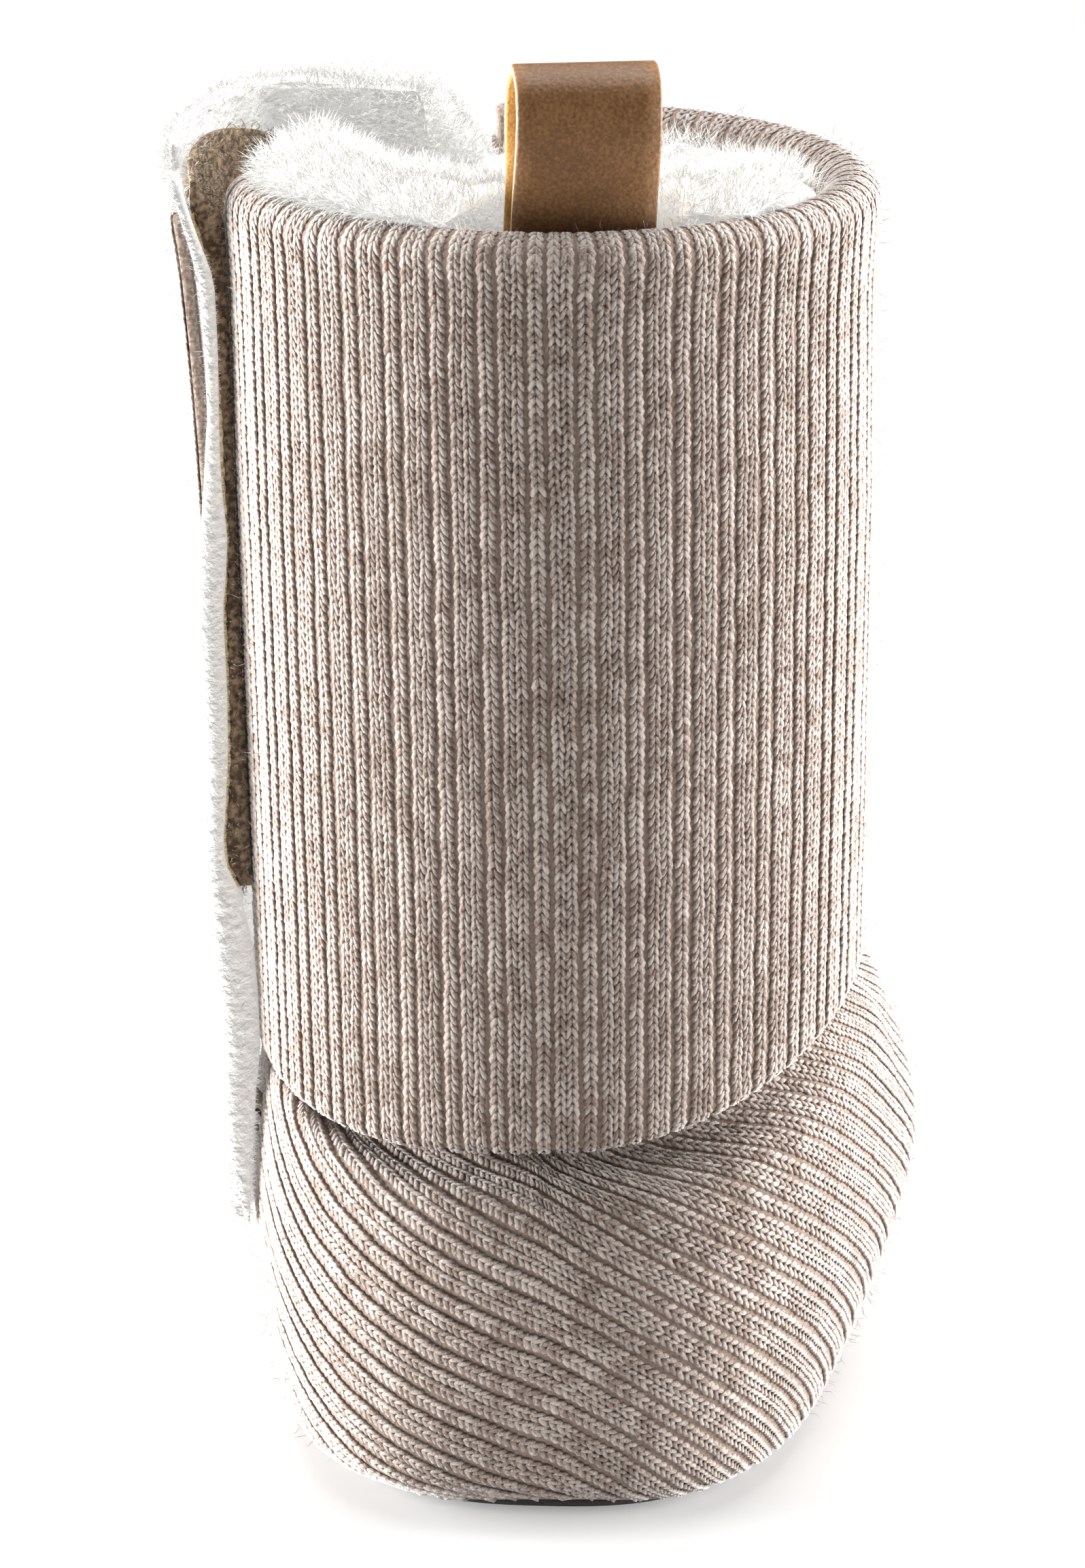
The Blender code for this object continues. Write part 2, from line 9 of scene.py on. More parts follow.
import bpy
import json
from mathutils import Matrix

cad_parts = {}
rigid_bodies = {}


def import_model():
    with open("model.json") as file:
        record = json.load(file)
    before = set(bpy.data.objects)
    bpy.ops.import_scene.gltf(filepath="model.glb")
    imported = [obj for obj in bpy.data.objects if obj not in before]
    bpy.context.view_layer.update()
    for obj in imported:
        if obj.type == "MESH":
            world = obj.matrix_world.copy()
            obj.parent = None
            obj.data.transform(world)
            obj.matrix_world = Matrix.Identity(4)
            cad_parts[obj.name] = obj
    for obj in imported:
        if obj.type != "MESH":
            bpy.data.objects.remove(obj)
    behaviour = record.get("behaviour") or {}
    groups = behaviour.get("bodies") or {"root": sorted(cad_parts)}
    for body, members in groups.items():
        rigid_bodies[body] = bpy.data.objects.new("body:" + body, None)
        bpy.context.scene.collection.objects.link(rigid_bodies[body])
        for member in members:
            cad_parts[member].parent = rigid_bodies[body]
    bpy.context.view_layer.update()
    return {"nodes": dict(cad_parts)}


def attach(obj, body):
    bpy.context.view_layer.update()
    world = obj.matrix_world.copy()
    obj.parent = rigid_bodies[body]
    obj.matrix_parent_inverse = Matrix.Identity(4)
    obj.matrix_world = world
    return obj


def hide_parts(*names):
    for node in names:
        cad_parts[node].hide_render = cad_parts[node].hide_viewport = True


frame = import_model()
print("solids:", sorted(frame["nodes"]))

# %% Tools of the lesson
import json
import math
import random
from collections import namedtuple
from math import cos, pi, radians, sin

import bmesh
import bpy
import numpy as np
from mathutils import Vector
from mathutils.bvhtree import BVHTree
from mathutils.noise import noise_vector, seed_set

MM = 0.001
TINY = 1e-12
BODY = "root"
UP = Vector((0.0, 0.0, 1.0))
# Left alone, the noise takes its seed from the clock
NOISE_SEED = 7
seed_set(NOISE_SEED)

# %% [markdown]
# ## The camera
#
# The picture was taken from behind the heel, a little from the right and from above, with
# a long lens that hardly narrows what is further away. A real camera is placed by its
# position and two turns, so those three and the lens are all that this cell states.

# %% Camera
CAMERA_PLACE = (0.1223, -1.7496, 0.5784)
CAMERA_YAW = radians(4.123)
CAMERA_PITCH = radians(15.6)
CAMERA_LENS = 312.2
CAMERA_SENSOR = 36.0

camera_data = bpy.data.cameras.new("studio_camera")
camera_data.lens = CAMERA_LENS
camera_data.sensor_width = CAMERA_SENSOR
camera = bpy.data.objects.new("studio_camera", camera_data)
camera.location = CAMERA_PLACE
camera.rotation_euler = (radians(90) - CAMERA_PITCH, 0.0, CAMERA_YAW)
bpy.context.scene.collection.objects.link(camera)
bpy.context.scene.camera = camera
print("camera at", CAMERA_PLACE)

# %% [markdown]
# ## Nodes from Python
#
# Materials and geometry trees are both graphs of nodes. A small class wraps one number
# socket, so that sums can be written as sums, and a second one adds every other node from
# its type, its settings and what goes into its sockets. A third one is such a graph that
# starts with a shader, and so makes one finish.

# %% A number socket
class Value:
    """A number socket that can stand in a Python sum."""

    def __init__(self, graph, socket):
        self.graph = graph
        self.socket = socket

    def __add__(self, other):
        return self.graph.math("ADD", self, other)

    def __sub__(self, other):
        return self.graph.math("SUBTRACT", self, other)

    def __rsub__(self, other):
        return self.graph.math("SUBTRACT", other, self)

    def __mul__(self, other):
        return self.graph.math("MULTIPLY", self, other)

    __radd__ = __add__
    __rmul__ = __mul__


# %% Nodes and their links
class Graph:
    """The nodes of one material or of one geometry tree."""

    def __init__(self, tree):
        self.tree = tree

    def node(self, kind, settings=None, sockets=None):
        """Add a node: its settings first, then the values or links of its sockets."""
        made = self.tree.nodes.new(kind)
        for name, setting in (settings or {}).items():
            setattr(made, name, setting)
        for key, value in (sockets or {}).items():
            self.feed(self.find(made.inputs, key), value)
        return made

    def find(self, sockets, key):
        """A socket by its place, or the first one in use that has the name."""
        if isinstance(key, int):
            return sockets[key]
        return next(socket for socket in sockets if socket.enabled and socket.name == key)

    def feed(self, socket, value):
        if isinstance(value, Value):
            value = value.socket
        if isinstance(value, bpy.types.NodeSocket):
            self.tree.links.new(value, socket)
        else:
            socket.default_value = value

    def output(self, kind, settings=None, sockets=None, key=0):
        """Add a node and give one of its output sockets."""
        return self.node(kind, settings, sockets).outputs[key]

    def number(self, kind, settings=None, sockets=None, key=0):
        return Value(self, self.output(kind, settings, sockets, key))

    def math(self, operation, *terms):
        return self.number("ShaderNodeMath", {"operation": operation}, dict(enumerate(terms)))

    def vector(self, operation, *terms):
        settings = {"operation": operation}
        return self.output("ShaderNodeVectorMath", settings, dict(enumerate(terms)), "Vector")

    def scaled(self, vector, factor):
        sockets = {"Vector": vector, "Scale": factor}
        return self.output("ShaderNodeVectorMath", {"operation": "SCALE"}, sockets, "Vector")

    def noise(self, coords, grain, detail=2.0, stretch=None):
        """Noise whose blotches are about as large as the grain, in metres."""
        if stretch is not None:
            coords = self.vector("DIVIDE", coords, stretch)
        sockets = {"Vector": coords, "Scale": 1 / grain, "Detail": detail}
        return self.number("ShaderNodeTexNoise", None, sockets)

    def step(self, value, low, high):
        """Ease from 0, where the value is low, to 1, where it is high."""
        sockets = {"Value": value, "From Min": low, "From Max": high}
        return self.number("ShaderNodeMapRange", {"interpolation_type": "SMOOTHSTEP"}, sockets)

    def blend(self, share, first, second):
        """Mix two colours."""
        sockets = {0: share, 6: first, 7: second}
        return self.output("ShaderNodeMix", {"data_type": "RGBA"}, sockets, 2)

    def attribute(self, name):
        """A number that the mesh carries at its points."""
        return self.number("ShaderNodeAttribute", {"attribute_name": name}, None, 2)

    def bump(self, height, distance, normal=None):
        sockets = {"Height": height, "Distance": distance}
        if normal is not None:
            sockets["Normal"] = normal
        return self.output("ShaderNodeBump", None, sockets, "Normal")


# %% A finish and its colours
class Finish(Graph):
    """The graph of a material, with its shader and the piece's own coordinates."""

    def __init__(self, name, constants):
        self.material = bpy.data.materials.new(name)
        self.material.use_nodes = True
        super().__init__(self.material.node_tree)
        self.shader = self.tree.nodes["Principled BSDF"]
        for socket, value in constants.items():
            self.shader.inputs[socket].default_value = value
        self.coords = self.output("ShaderNodeTexCoord", None, None, "Object")

    def done(self, base, normal=None):
        """Give the shader its colour and its relief, and hand out the material."""
        self.feed(self.shader.inputs["Base Color"], base)
        if normal is not None:
            self.feed(self.shader.inputs["Normal"], normal)
        return self.material


def colour(red, green, blue):
    return (red, green, blue, 1.0)


def grey(level):
    return colour(level, level, level)


# %% [markdown]
# ## Light and floor
#
# A product photograph of this kind is lit by large soft boxes at both sides, which is why
# both edges of the bootie are bright and its middle is darker, and by one from above. A
# rectangular area light is such a box. The floor is a plain white sheet, and the world is
# an even pale grey that fills the shadows.

# %% Studio
SoftBox = namedtuple("SoftBox", "name place width height power")
SOFT_BOXES = (
    SoftBox("left", (-0.95, 0.15, 0.14), 1.1, 0.34, 54.0),
    SoftBox("right", (0.93, 0.25, 0.14), 1.1, 0.34, 38.0),
    SoftBox("top", (0.05, 0.28, 0.98), 1.0, 0.6, 16.0),
)
AIM = Vector((0.0, 0.0, 0.09))
FILL = 0.08
FLOOR_GLOW = 0.31
FLOOR_SIZE = 12.0
PAPER_GRAIN = 0.05
PAPER_DARK = grey(0.48)
PAPER_LIGHT = grey(0.50)
WHITE = grey(1.0)

for box in SOFT_BOXES:
    light_data = bpy.data.lights.new("soft_box_" + box.name, "AREA")
    light_data.shape = "RECTANGLE"
    light_data.size = box.width
    light_data.size_y = box.height
    light_data.energy = box.power
    light = bpy.data.objects.new("soft_box_" + box.name, light_data)
    light.location = box.place
    light.rotation_euler = (AIM - Vector(box.place)).to_track_quat("-Z", "Y").to_euler()
    bpy.context.scene.collection.objects.link(light)

world = bpy.data.worlds.new("studio")
world.use_nodes = True
bpy.context.scene.world = world
sky = Graph(world.node_tree)
backdrop = world.node_tree.nodes["Background"]
sees_world = sky.node("ShaderNodeLightPath").outputs["Is Camera Ray"]
sky.feed(backdrop.inputs["Color"], WHITE)
sky.feed(backdrop.inputs["Strength"], Value(sky, sees_world) * (1.0 - FILL) + FILL)

view_settings = bpy.context.scene.view_settings
view_settings.view_transform = "Standard"
view_settings.look = "None"

paper = Finish("white_floor", {
    "Roughness": 0.9, "Emission Color": WHITE, "Emission Strength": FLOOR_GLOW,
})
floor_mesh = bpy.data.meshes.new("floor")
half = FLOOR_SIZE / 2
corners = [(-half, -half, 0), (half, -half, 0), (half, half, 0), (-half, half, 0)]
floor_mesh.from_pydata(corners, [], [(0, 1, 2, 3)])
mottle = paper.noise(paper.coords, PAPER_GRAIN)
floor_mesh.materials.append(paper.done(paper.blend(mottle, PAPER_DARK, PAPER_LIGHT)))
floor = bpy.data.objects.new("floor", floor_mesh)
bpy.context.scene.collection.objects.link(floor)
print("soft boxes:", [box.name for box in SOFT_BOXES])

# %% [markdown]
# ## The bootie's own sizes
#
# Knitting follows the surface that it is stretched over, so the lesson needs the same
# curves as the solids: plan outlines of the foot at four levels, and the shaft's oval at a
# few heights. They are stated once here, and every piece below is laid on them.

# %% Sizes shared with the solids
SEAM_GAP = 0.0003
SOFT_GAP = 0.0005
SOLE_THICKNESS = 0.0025
SOLE_EDGE_RADIUS = 0.0008
INSOLE_THICKNESS = 0.0030
INSOLE_INSET = 0.0045
ARCH_START = 0.006
ARCH_LENGTH = 0.032
ARCH_RISE = 0.0012
SPRING_START = 0.058
TOE_SPRING = 0.0025
THROAT_TUCK = 0.0090
HEEL_HEM = 0.0490
SIDE_HEM = 0.0670
TOE_HEM = 0.0790
HEM_LEFT_DROP = 0.0095
HEM_DROP_POWER = 1.5
RIM_HEIGHT = 0.1735
RIM_RADIUS = 0.0040
RIM_FOLD = 0.0080
RIM_FOLD_DEPTH = 0.0120
SHAFT_WALL = 0.0032
SHAFT_FREE_END = radians(189)
SHAFT_FRONT_END = radians(105 + 360)
WALL_TOP = RIM_HEIGHT - RIM_RADIUS

Section = namedtuple(
    "Section",
    "name centre_x heel_y toe_y heel_half ball_half heel_z side_z toe_z heel_square toe_square",
)
FOOT_SECTIONS = (
    Section("feather", -0.0008, -0.0415, 0.0770, 0.0290, 0.0325, 0.003, 0.003, 0.005, 2.8, 2.4),
    Section("low bulge", -0.0020, -0.0465, 0.0845, 0.0366, 0.0404, 0.007, 0.007, 0.011, 3.1, 2.5),
    Section("widest", -0.0002, -0.0490, 0.0885, 0.0418, 0.0473, 0.027, 0.029, 0.028, 2.8, 2.5),
    Section("shoulder", 0.0000, -0.0455, 0.0660, 0.0415, 0.0418, 0.0425, 0.053, 0.053, 2.4, 2.3),
)
ShaftRow = namedtuple("ShaftRow", "z centre_x half_width half_depth")
SHAFT_TABLE = (
    ShaftRow(0.0500, -0.0014, 0.0406, 0.0405),
    ShaftRow(0.0900, -0.0017, 0.0417, 0.0410),
    ShaftRow(0.1300, -0.0021, 0.0427, 0.0415),
    ShaftRow(0.1600, -0.0025, 0.0431, 0.0420),
    ShaftRow(0.1760, -0.0025, 0.0440, 0.0425),
)
print("rim height:", RIM_HEIGHT, "foot sections:", [row.name for row in FOOT_SECTIONS])

# %% Easing between values
def smooth(value):
    value = min(max(value, 0.0), 1.0)
    return value * value * (3 - 2 * value)


def mix(low, high, share):
    return low + (high - low) * share


def ramp(value, start, end):
    """Ease from 0 at the start to 1 at the end."""
    return smooth((value - start) / (end - start))


def between(place, places, values):
    """A value at one place, from values that are known at others."""
    return float(np.interp(place, places, values))


def three_heights(heel, side, toe, along):
    """Height at along from -1, the heel, through 0, the side, to 1, the toe."""
    return side + (toe - heel) / 2 * along + ((toe + heel) / 2 - side) * along * along


# %% Outlines of the foot and the shaft
def section_point(section, angle, inset=0.0):
    """Point of a foot section: angle 0 is its right side, 90 degrees its toe."""
    toe_share = smooth((1 + sin(angle)) / 2)
    power = 2 / mix(section.heel_square, section.toe_square, toe_share)
    along = math.copysign(abs(sin(angle)) ** power, sin(angle))
    across = math.copysign(abs(cos(angle)) ** power, cos(angle))
    half_width = mix(section.heel_half, section.ball_half, smooth((1 + along) / 2))
    middle_y = (section.toe_y + section.heel_y) / 2
    half_length = (section.toe_y - section.heel_y) / 2
    z = three_heights(section.heel_z, section.side_z, section.toe_z, along)
    x = section.centre_x + (half_width - inset) * across
    return Vector((x, middle_y + (half_length - inset) * along, z))


def shaft_row(z):
    """The shaft's centre and half sizes at height z."""
    if z <= SHAFT_TABLE[0].z:
        return SHAFT_TABLE[0]
    for low, high in zip(SHAFT_TABLE, SHAFT_TABLE[1:]):
        if z <= high.z:
            share = (z - low.z) / (high.z - low.z)
            return ShaftRow(*(mix(a, b, share) for a, b in zip(low, high)))
    return SHAFT_TABLE[-1]


def shaft_point(angle, z, inset=0.0):
    """Point on the shaft's outer face, or inset from it towards its centre line."""
    row = shaft_row(z)
    x = row.centre_x + (row.half_width - inset) * cos(angle)
    return Vector((x, (row.half_depth - inset) * sin(angle), z))


def hem_height(angle):
    """Height of the shaft's lower edge: low at the heel and on the left, high at the instep."""
    level = three_heights(HEEL_HEM, SIDE_HEM, TOE_HEM, sin(angle))
    return level - HEM_LEFT_DROP * max(0.0, -cos(angle)) ** HEM_DROP_POWER


def curve_through(points, steps):
    """Points of a smooth curve through the given points, with so many steps a stretch."""
    ends = [2 * points[0] - points[1]] + list(points) + [2 * points[-1] - points[-2]]
    curve = []
    for before, start, end, after in zip(ends, ends[1:], ends[2:], ends[3:]):
        for step in range(steps):
            t = step / steps
            curve.append(
                0.5 * (2 * start + (end - before) * t
                       + (2 * before - 5 * start + 4 * end - after) * t * t
                       + (3 * start - before - 3 * end + after) * t ** 3)
            )
    return curve + [points[-1]]


def underside(y):
    """Height of the sole's underside: flat at heel and ball, raised at arch and toe."""
    arch_share = (y - ARCH_START) / ARCH_LENGTH
    arch = ARCH_RISE * sin(pi * arch_share) ** 2 if 0 < arch_share < 1 else 0.0
    spring_share = max(0.0, (y - SPRING_START) / (FOOT_SECTIONS[0].toe_y - SPRING_START))
    return arch + TOE_SPRING * spring_share ** 2


print("hem at the heel:", round(hem_height(radians(270)) / MM, 1), "mm")

# %% [markdown]
# ## Flat fabric, wrapped over a form
#
# Knitting is a flat lattice of equal stitches. It is easiest to lay the stitches out flat,
# with u across and v up, and to wrap the finished swatch over the form. The form is a
# surface that carries its own flat coordinates as a UV map, and a geometry tree looks up,
# for every point of the flat swatch, where that place is on the form and which way is out.

# %% Surfaces with flat coordinates
def link(made):
    bpy.context.scene.collection.objects.link(made)
    return made


def surface_normals(grid):
    """Outward directions of a grid of points, by differences along its two ways."""
    across = np.gradient(grid, axis=0)
    up = np.gradient(grid, axis=1)
    normals = np.cross(across, up)
    return normals / np.maximum(np.linalg.norm(normals, axis=2, keepdims=True), TINY)


def form_surface(name, grid, flat):
    """A surface through a grid of points, with flat coordinates for each of them."""
    columns, rows = grid.shape[:2]
    index = np.arange(columns * rows).reshape(columns, rows)
    quads = np.stack(
        (index[:-1, :-1], index[1:, :-1], index[1:, 1:], index[:-1, 1:]), axis=-1
    ).reshape(-1, 4)
    mesh = bpy.data.meshes.new(name)
    mesh.from_pydata(grid.reshape(-1, 3).tolist(), [], quads.tolist())
    fabric = mesh.uv_layers.new(name="fabric")
    fabric.data.foreach_set("uv", flat.reshape(-1, 2)[quads.ravel()].astype(np.float32).ravel())
    outward = mesh.attributes.new("outward", "FLOAT_VECTOR", "POINT")
    outward.data.foreach_set("vector", surface_normals(grid).astype(np.float32).ravel())
    return link(bpy.data.objects.new(name, mesh))


def remove(*helpers):
    for helper in helpers:
        bpy.data.objects.remove(helper, do_unlink=True)


# %% Closed bodies
def closed_piece(name, shape, *finishes):
    """Turn a closed shape's faces outwards and make it an object."""
    bmesh.ops.recalc_face_normals(shape, faces=shape.faces)
    mesh = bpy.data.meshes.new(name)
    shape.to_mesh(mesh)
    shape.free()
    mesh.shade_smooth()
    for finish in finishes:
        mesh.materials.append(finish)
    return link(bpy.data.objects.new(name, mesh))


def bridge(shape, rings):
    """Fill the strips between rings of corners, and list the faces in their order."""
    faces = []
    for low, high in zip(rings, rings[1:]):
        for place in range(len(low)):
            after = (place + 1) % len(low)
            faces.append(shape.faces.new((low[place], low[after], high[after], high[place])))
    return faces


def loft(name, rings, *finishes, across=None, kinds=None):
    """A closed body through rings of points, its two ends filled.

    across gives each ring's place across the ribs, for the pattern of the ground, and kinds
    says which finish each strip along the body has.
    """
    shape = bmesh.new()
    grid = [[shape.verts.new(point) for point in ring] for ring in rings]
    ribs = shape.loops.layers.uv.new("ribs") if across is not None else None
    for index, face in enumerate(bridge(shape, grid)):
        column, place = divmod(index, len(grid[0]))
        if kinds is not None:
            face.material_index = kinds[place]
        if ribs is not None:
            for corner, side in zip(face.loops, (0, 0, 1, 1)):
                corner[ribs].uv = (across[column + side], 0.0)
    caps = [shape.faces.new(ring) for ring in (grid[0], grid[-1])]
    bmesh.ops.triangulate(shape, faces=caps)
    return closed_piece(name, shape, *finishes)


def ready(piece, slot, *replaced):
    """Let a finished piece ride on the bootie, and hide the solids that it stands for."""
    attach(piece, BODY)
    if replaced:
        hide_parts(*replaced)
    piece.data.calc_loop_triangles()
    print(piece.name, len(piece.data.loop_triangles), "triangles")


# %% A geometry tree with named inputs
def new_tree(name, inputs):
    """A geometry tree, its graph and its input sockets by name."""
    tree = bpy.data.node_groups.new(name, "GeometryNodeTree")
    tree.interface.new_socket("Geometry", in_out="INPUT", socket_type="NodeSocketGeometry")
    for label, kind in inputs.items():
        tree.interface.new_socket(label, in_out="INPUT", socket_type="NodeSocket" + kind)
    tree.interface.new_socket("Geometry", in_out="OUTPUT", socket_type="NodeSocketGeometry")
    graph = Graph(tree)
    return tree, graph, graph.node("NodeGroupInput").outputs


def grown_piece(name, base, tree, values):
    """Run a geometry tree on a base mesh and keep the result as a plain mesh."""
    made = bpy.data.objects.new(name, base)
    modifier = made.modifiers.new(tree.name, "NODES")
    modifier.node_group = tree
    for item in tree.interface.items_tree:
        if item.in_out == "INPUT" and item.name in values:
            modifier[item.identifier] = values[item.name]
    link(made)
    graph = bpy.context.evaluated_depsgraph_get()
    plain = bpy.data.meshes.new_from_object(
        made.evaluated_get(graph), preserve_all_data_layers=True, depsgraph=graph
    )
    made.modifiers.clear()
    made.data = plain
    plain.name = name
    return made


# %% What both trees share
def named(graph, name, kind="FLOAT_VECTOR"):
    """A direction, or a number, that the geometry carries at its points."""
    settings = {"data_type": kind}
    return graph.output("GeometryNodeInputNamedAttribute", settings, {"Name": name})


def object_shape(graph, socket):
    return graph.output("GeometryNodeObjectInfo", None, {"Object": socket}, "Geometry")


def random_number(graph, low, high, seed):
    sockets = {"Min": low, "Max": high, "Seed": seed}
    return graph.number("FunctionNodeRandomValue", {"data_type": "FLOAT"}, sockets, 1)


def random_size(graph, spread, seed):
    """A factor that is 1, give or take the spread."""
    spread = Value(graph, spread)
    return random_number(graph, 1.0 - spread, 1.0 + spread, seed)


def placed(graph, points, model, rotation, scale):
    """A model on every point, turned and sized, as real geometry."""
    sockets = {
        "Points": points,
        "Instance": object_shape(graph, model),
        "Rotation": rotation,
        "Scale": scale,
    }
    copies = graph.output("GeometryNodeInstanceOnPoints", None, sockets)
    return graph.output("GeometryNodeRealizeInstances", None, {"Geometry": copies})


def finish_tree(graph, geometry, material):
    """Smooth the geometry, give it its material and end the tree with it."""
    geometry = graph.output("GeometryNodeSetShadeSmooth", None, {"Geometry": geometry})
    sockets = {"Geometry": geometry, "Material": material}
    geometry = graph.output("GeometryNodeSetMaterial", None, sockets)
    graph.node("NodeGroupOutput", None, {0: geometry})


# %% The tree that knits
def make_knit_tree():
    """Put a stitch on every flat point, then wrap the swatch over a surface."""
    inputs = {
        "Stitch": "Object", "Surface": "Object", "Size": "Vector", "Slant": "Float",
        "Turn Spread": "Float", "Size Spread": "Float", "Seed": "Int", "Finish": "Material",
    }
    tree, graph, given = new_tree("knit_over_surface", inputs)
    spread = Value(graph, given["Turn Spread"])
    turn = random_number(graph, spread * -1.0, spread, given["Seed"])
    euler = graph.output("ShaderNodeCombineXYZ", None, {"Z": turn + Value(graph, given["Slant"])})
    rotation = graph.output("FunctionNodeEulerToRotation", None, {0: euler})
    factor = random_size(graph, given["Size Spread"], Value(graph, given["Seed"]) + 1)
    size = graph.scaled(given["Size"], factor)
    stitches = placed(graph, given["Geometry"], given["Stitch"], rotation, size)

    surface = object_shape(graph, given["Surface"])
    place = graph.output("GeometryNodeInputPosition")
    settings = {"data_type": "FLOAT_VECTOR"}
    found = []
    for value in (place, named(graph, "outward")):
        sockets = {
            "Mesh": surface, "Value": value, "UV Map": named(graph, "fabric"), "Sample UV": place,
        }
        found.append(graph.output("GeometryNodeSampleUVSurface", settings, sockets))
    height = graph.number("ShaderNodeSeparateXYZ", None, {0: place}, 2)
    height = height * Value(graph, named(graph, "plumpness", "FLOAT"))
    sockets = {"Geometry": stitches, "Name": "outward", "Value": found[1]}
    stitches = graph.output("GeometryNodeStoreNamedAttribute", settings, sockets)
    raised = graph.vector("ADD", found[0], graph.scaled(found[1], height))
    sockets = {"Geometry": stitches, "Position": raised}
    stitches = graph.output("GeometryNodeSetPosition", None, sockets)
    finish_tree(graph, stitches, given["Finish"])
    return tree


knit_tree = make_knit_tree()
print("knit tree:", len(knit_tree.nodes), "nodes")

# %% [markdown]
# ## One stitch
#
# Seen from its right side, a knit stitch is two plump legs that meet at the top, like an
# upside-down V on this bootie, because it was knitted from the toe up. Each leg is a bead
# of yarn that is thick in its middle and dives into the fabric at both ends. Twelve
# triangles are enough for one, and smooth shading rounds them.

# %% Stitch mesh
HALF_WALE = 0.00080
COURSE = 0.00119
STITCH_RELIEF = 0.00060
LEG_HALF_WIDTH = 0.00045
LegStation = namedtuple("LegStation", "along width height")
LEG_STATIONS = (
    LegStation(0.27, 0.95, 1.00),
    LegStation(0.72, 1.00, 0.88),
)
LEG_TOP = Vector((0.04 * HALF_WALE, 0.84 * COURSE))
LEG_FOOT = Vector((0.92 * HALF_WALE, -0.86 * COURSE))
LEG_EDGE_HEIGHT = 0.32
LEG_TOP_HEIGHT = 0.74
LEG_FOOT_HEIGHT = 0.22
LEG_TOP_CREST = 0.45
LEG_FOOT_CREST = 0.10


def stitch_object():
    """Two mirrored legs, with a number that tells crest from edge."""
    points = []
    faces = []
    crests = []
    axis = LEG_FOOT - LEG_TOP
    across = Vector((axis.y, -axis.x)).normalized() * -1
    for side in (1, -1):
        top, a, b, c, d, e, f, foot = range(len(points), len(points) + 8)
        points.append(Vector((LEG_TOP.x * side, LEG_TOP.y, LEG_TOP_HEIGHT * STITCH_RELIEF)))
        crests.append(LEG_TOP_CREST)
        for station in LEG_STATIONS:
            middle = LEG_TOP + axis * station.along
            reach = across * LEG_HALF_WIDTH * station.width
            low = LEG_EDGE_HEIGHT * STITCH_RELIEF
            high = station.height * STITCH_RELIEF
            for share, z, crest in ((-1, low, 0.0), (0, high, 1.0), (1, low, 0.0)):
                place = middle + reach * share
                points.append(Vector((place.x * side, place.y, z)))
                crests.append(crest)
        points.append(Vector((LEG_FOOT.x * side, LEG_FOOT.y, LEG_FOOT_HEIGHT * STITCH_RELIEF)))
        crests.append(LEG_FOOT_CREST)
        faces += [(top, a, b), (top, b, c), (top, c, a)]
        faces += [(a, d, e, b), (b, e, f, c), (c, f, d, a)]
        faces += [(foot, e, d), (foot, f, e), (foot, d, f)]
    shape = bmesh.new()
    corners = [shape.verts.new(point) for point in points]
    for face in faces:
        shape.faces.new([corners[index] for index in face])
    made = closed_piece("stitch", shape)
    made.data.attributes.new("crest", "FLOAT", "POINT").data.foreach_set("value", crests)
    return made


stitch = stitch_object()
print("stitch:", len(stitch.data.vertices), "points")

# %% [markdown]
# ## The rib
#
# The fabric is a fine fancy rib: two knit wales, a sunken purl wale, one knit wale, and
# another sunken one. From outside the purl wales are only dark grooves, so stitches stand
# on the knit wales alone, and the ground in the grooves is coloured darker as painted shade.
# Yarn of this kind is a marl: pale and brown fibres twisted together, so the tone changes
# slowly along a course and faster up a wale.

# %% Rib pattern
GROOVE = 0.00072
WIDE_WALE = 0.001577
NARROW_WALE = 0.001850
RIB_PERIOD = 2 * WIDE_WALE + NARROW_WALE + 2 * GROOVE
WIDE_PLACES = (-0.5 * WIDE_WALE, 0.5 * WIDE_WALE)
NARROW_PLACES = (WIDE_WALE + GROOVE + 0.5 * NARROW_WALE,)
GROUND_DEPTH = 0.00040

Wale = namedtuple("Wale", "offset kind")


def wales_between(low, high, phase):
    """Knit wales from low to high, with the middle of one wide rib at the phase."""
    first = math.floor((low - phase) / RIB_PERIOD) - 1
    last = math.ceil((high - phase) / RIB_PERIOD) + 1
    for period in range(first, last + 1):
        start = phase + period * RIB_PERIOD
        for kind, places in (("wide", WIDE_PLACES), ("narrow", NARROW_PLACES)):
            for place in places:
                if low <= start + place <= high:
                    yield Wale(start + place, kind)


print("rib period:", round(RIB_PERIOD / MM, 2), "mm")

# %% Stitch points and their tone
TONE_PATCH = 0.0055
TONE_SEED = Vector((3.1, 7.7, 1.3))
TONE_MIDDLE = 0.5
TONE_DRIFT = 0.36
TONE_CHANCE = 0.16
TONE_STRETCH = 0.6
WANDER = 0.00026
WANDER_LENGTH = 0.0045
WANDER_UP = 0.5
STITCH_SHIFT = 0.00004
STITCH_TURN = radians(6)
STITCH_SIZE_SPREAD = 0.09


def yarn_tone(u, v, chance):
    """Slow drift of the marl with some change from stitch to stitch."""
    drift = noise_vector(Vector((u, v * TONE_STRETCH, 0.0)) / TONE_PATCH + TONE_SEED).x
    return TONE_MIDDLE + TONE_DRIFT * drift + chance.gauss(0.0, TONE_CHANCE)


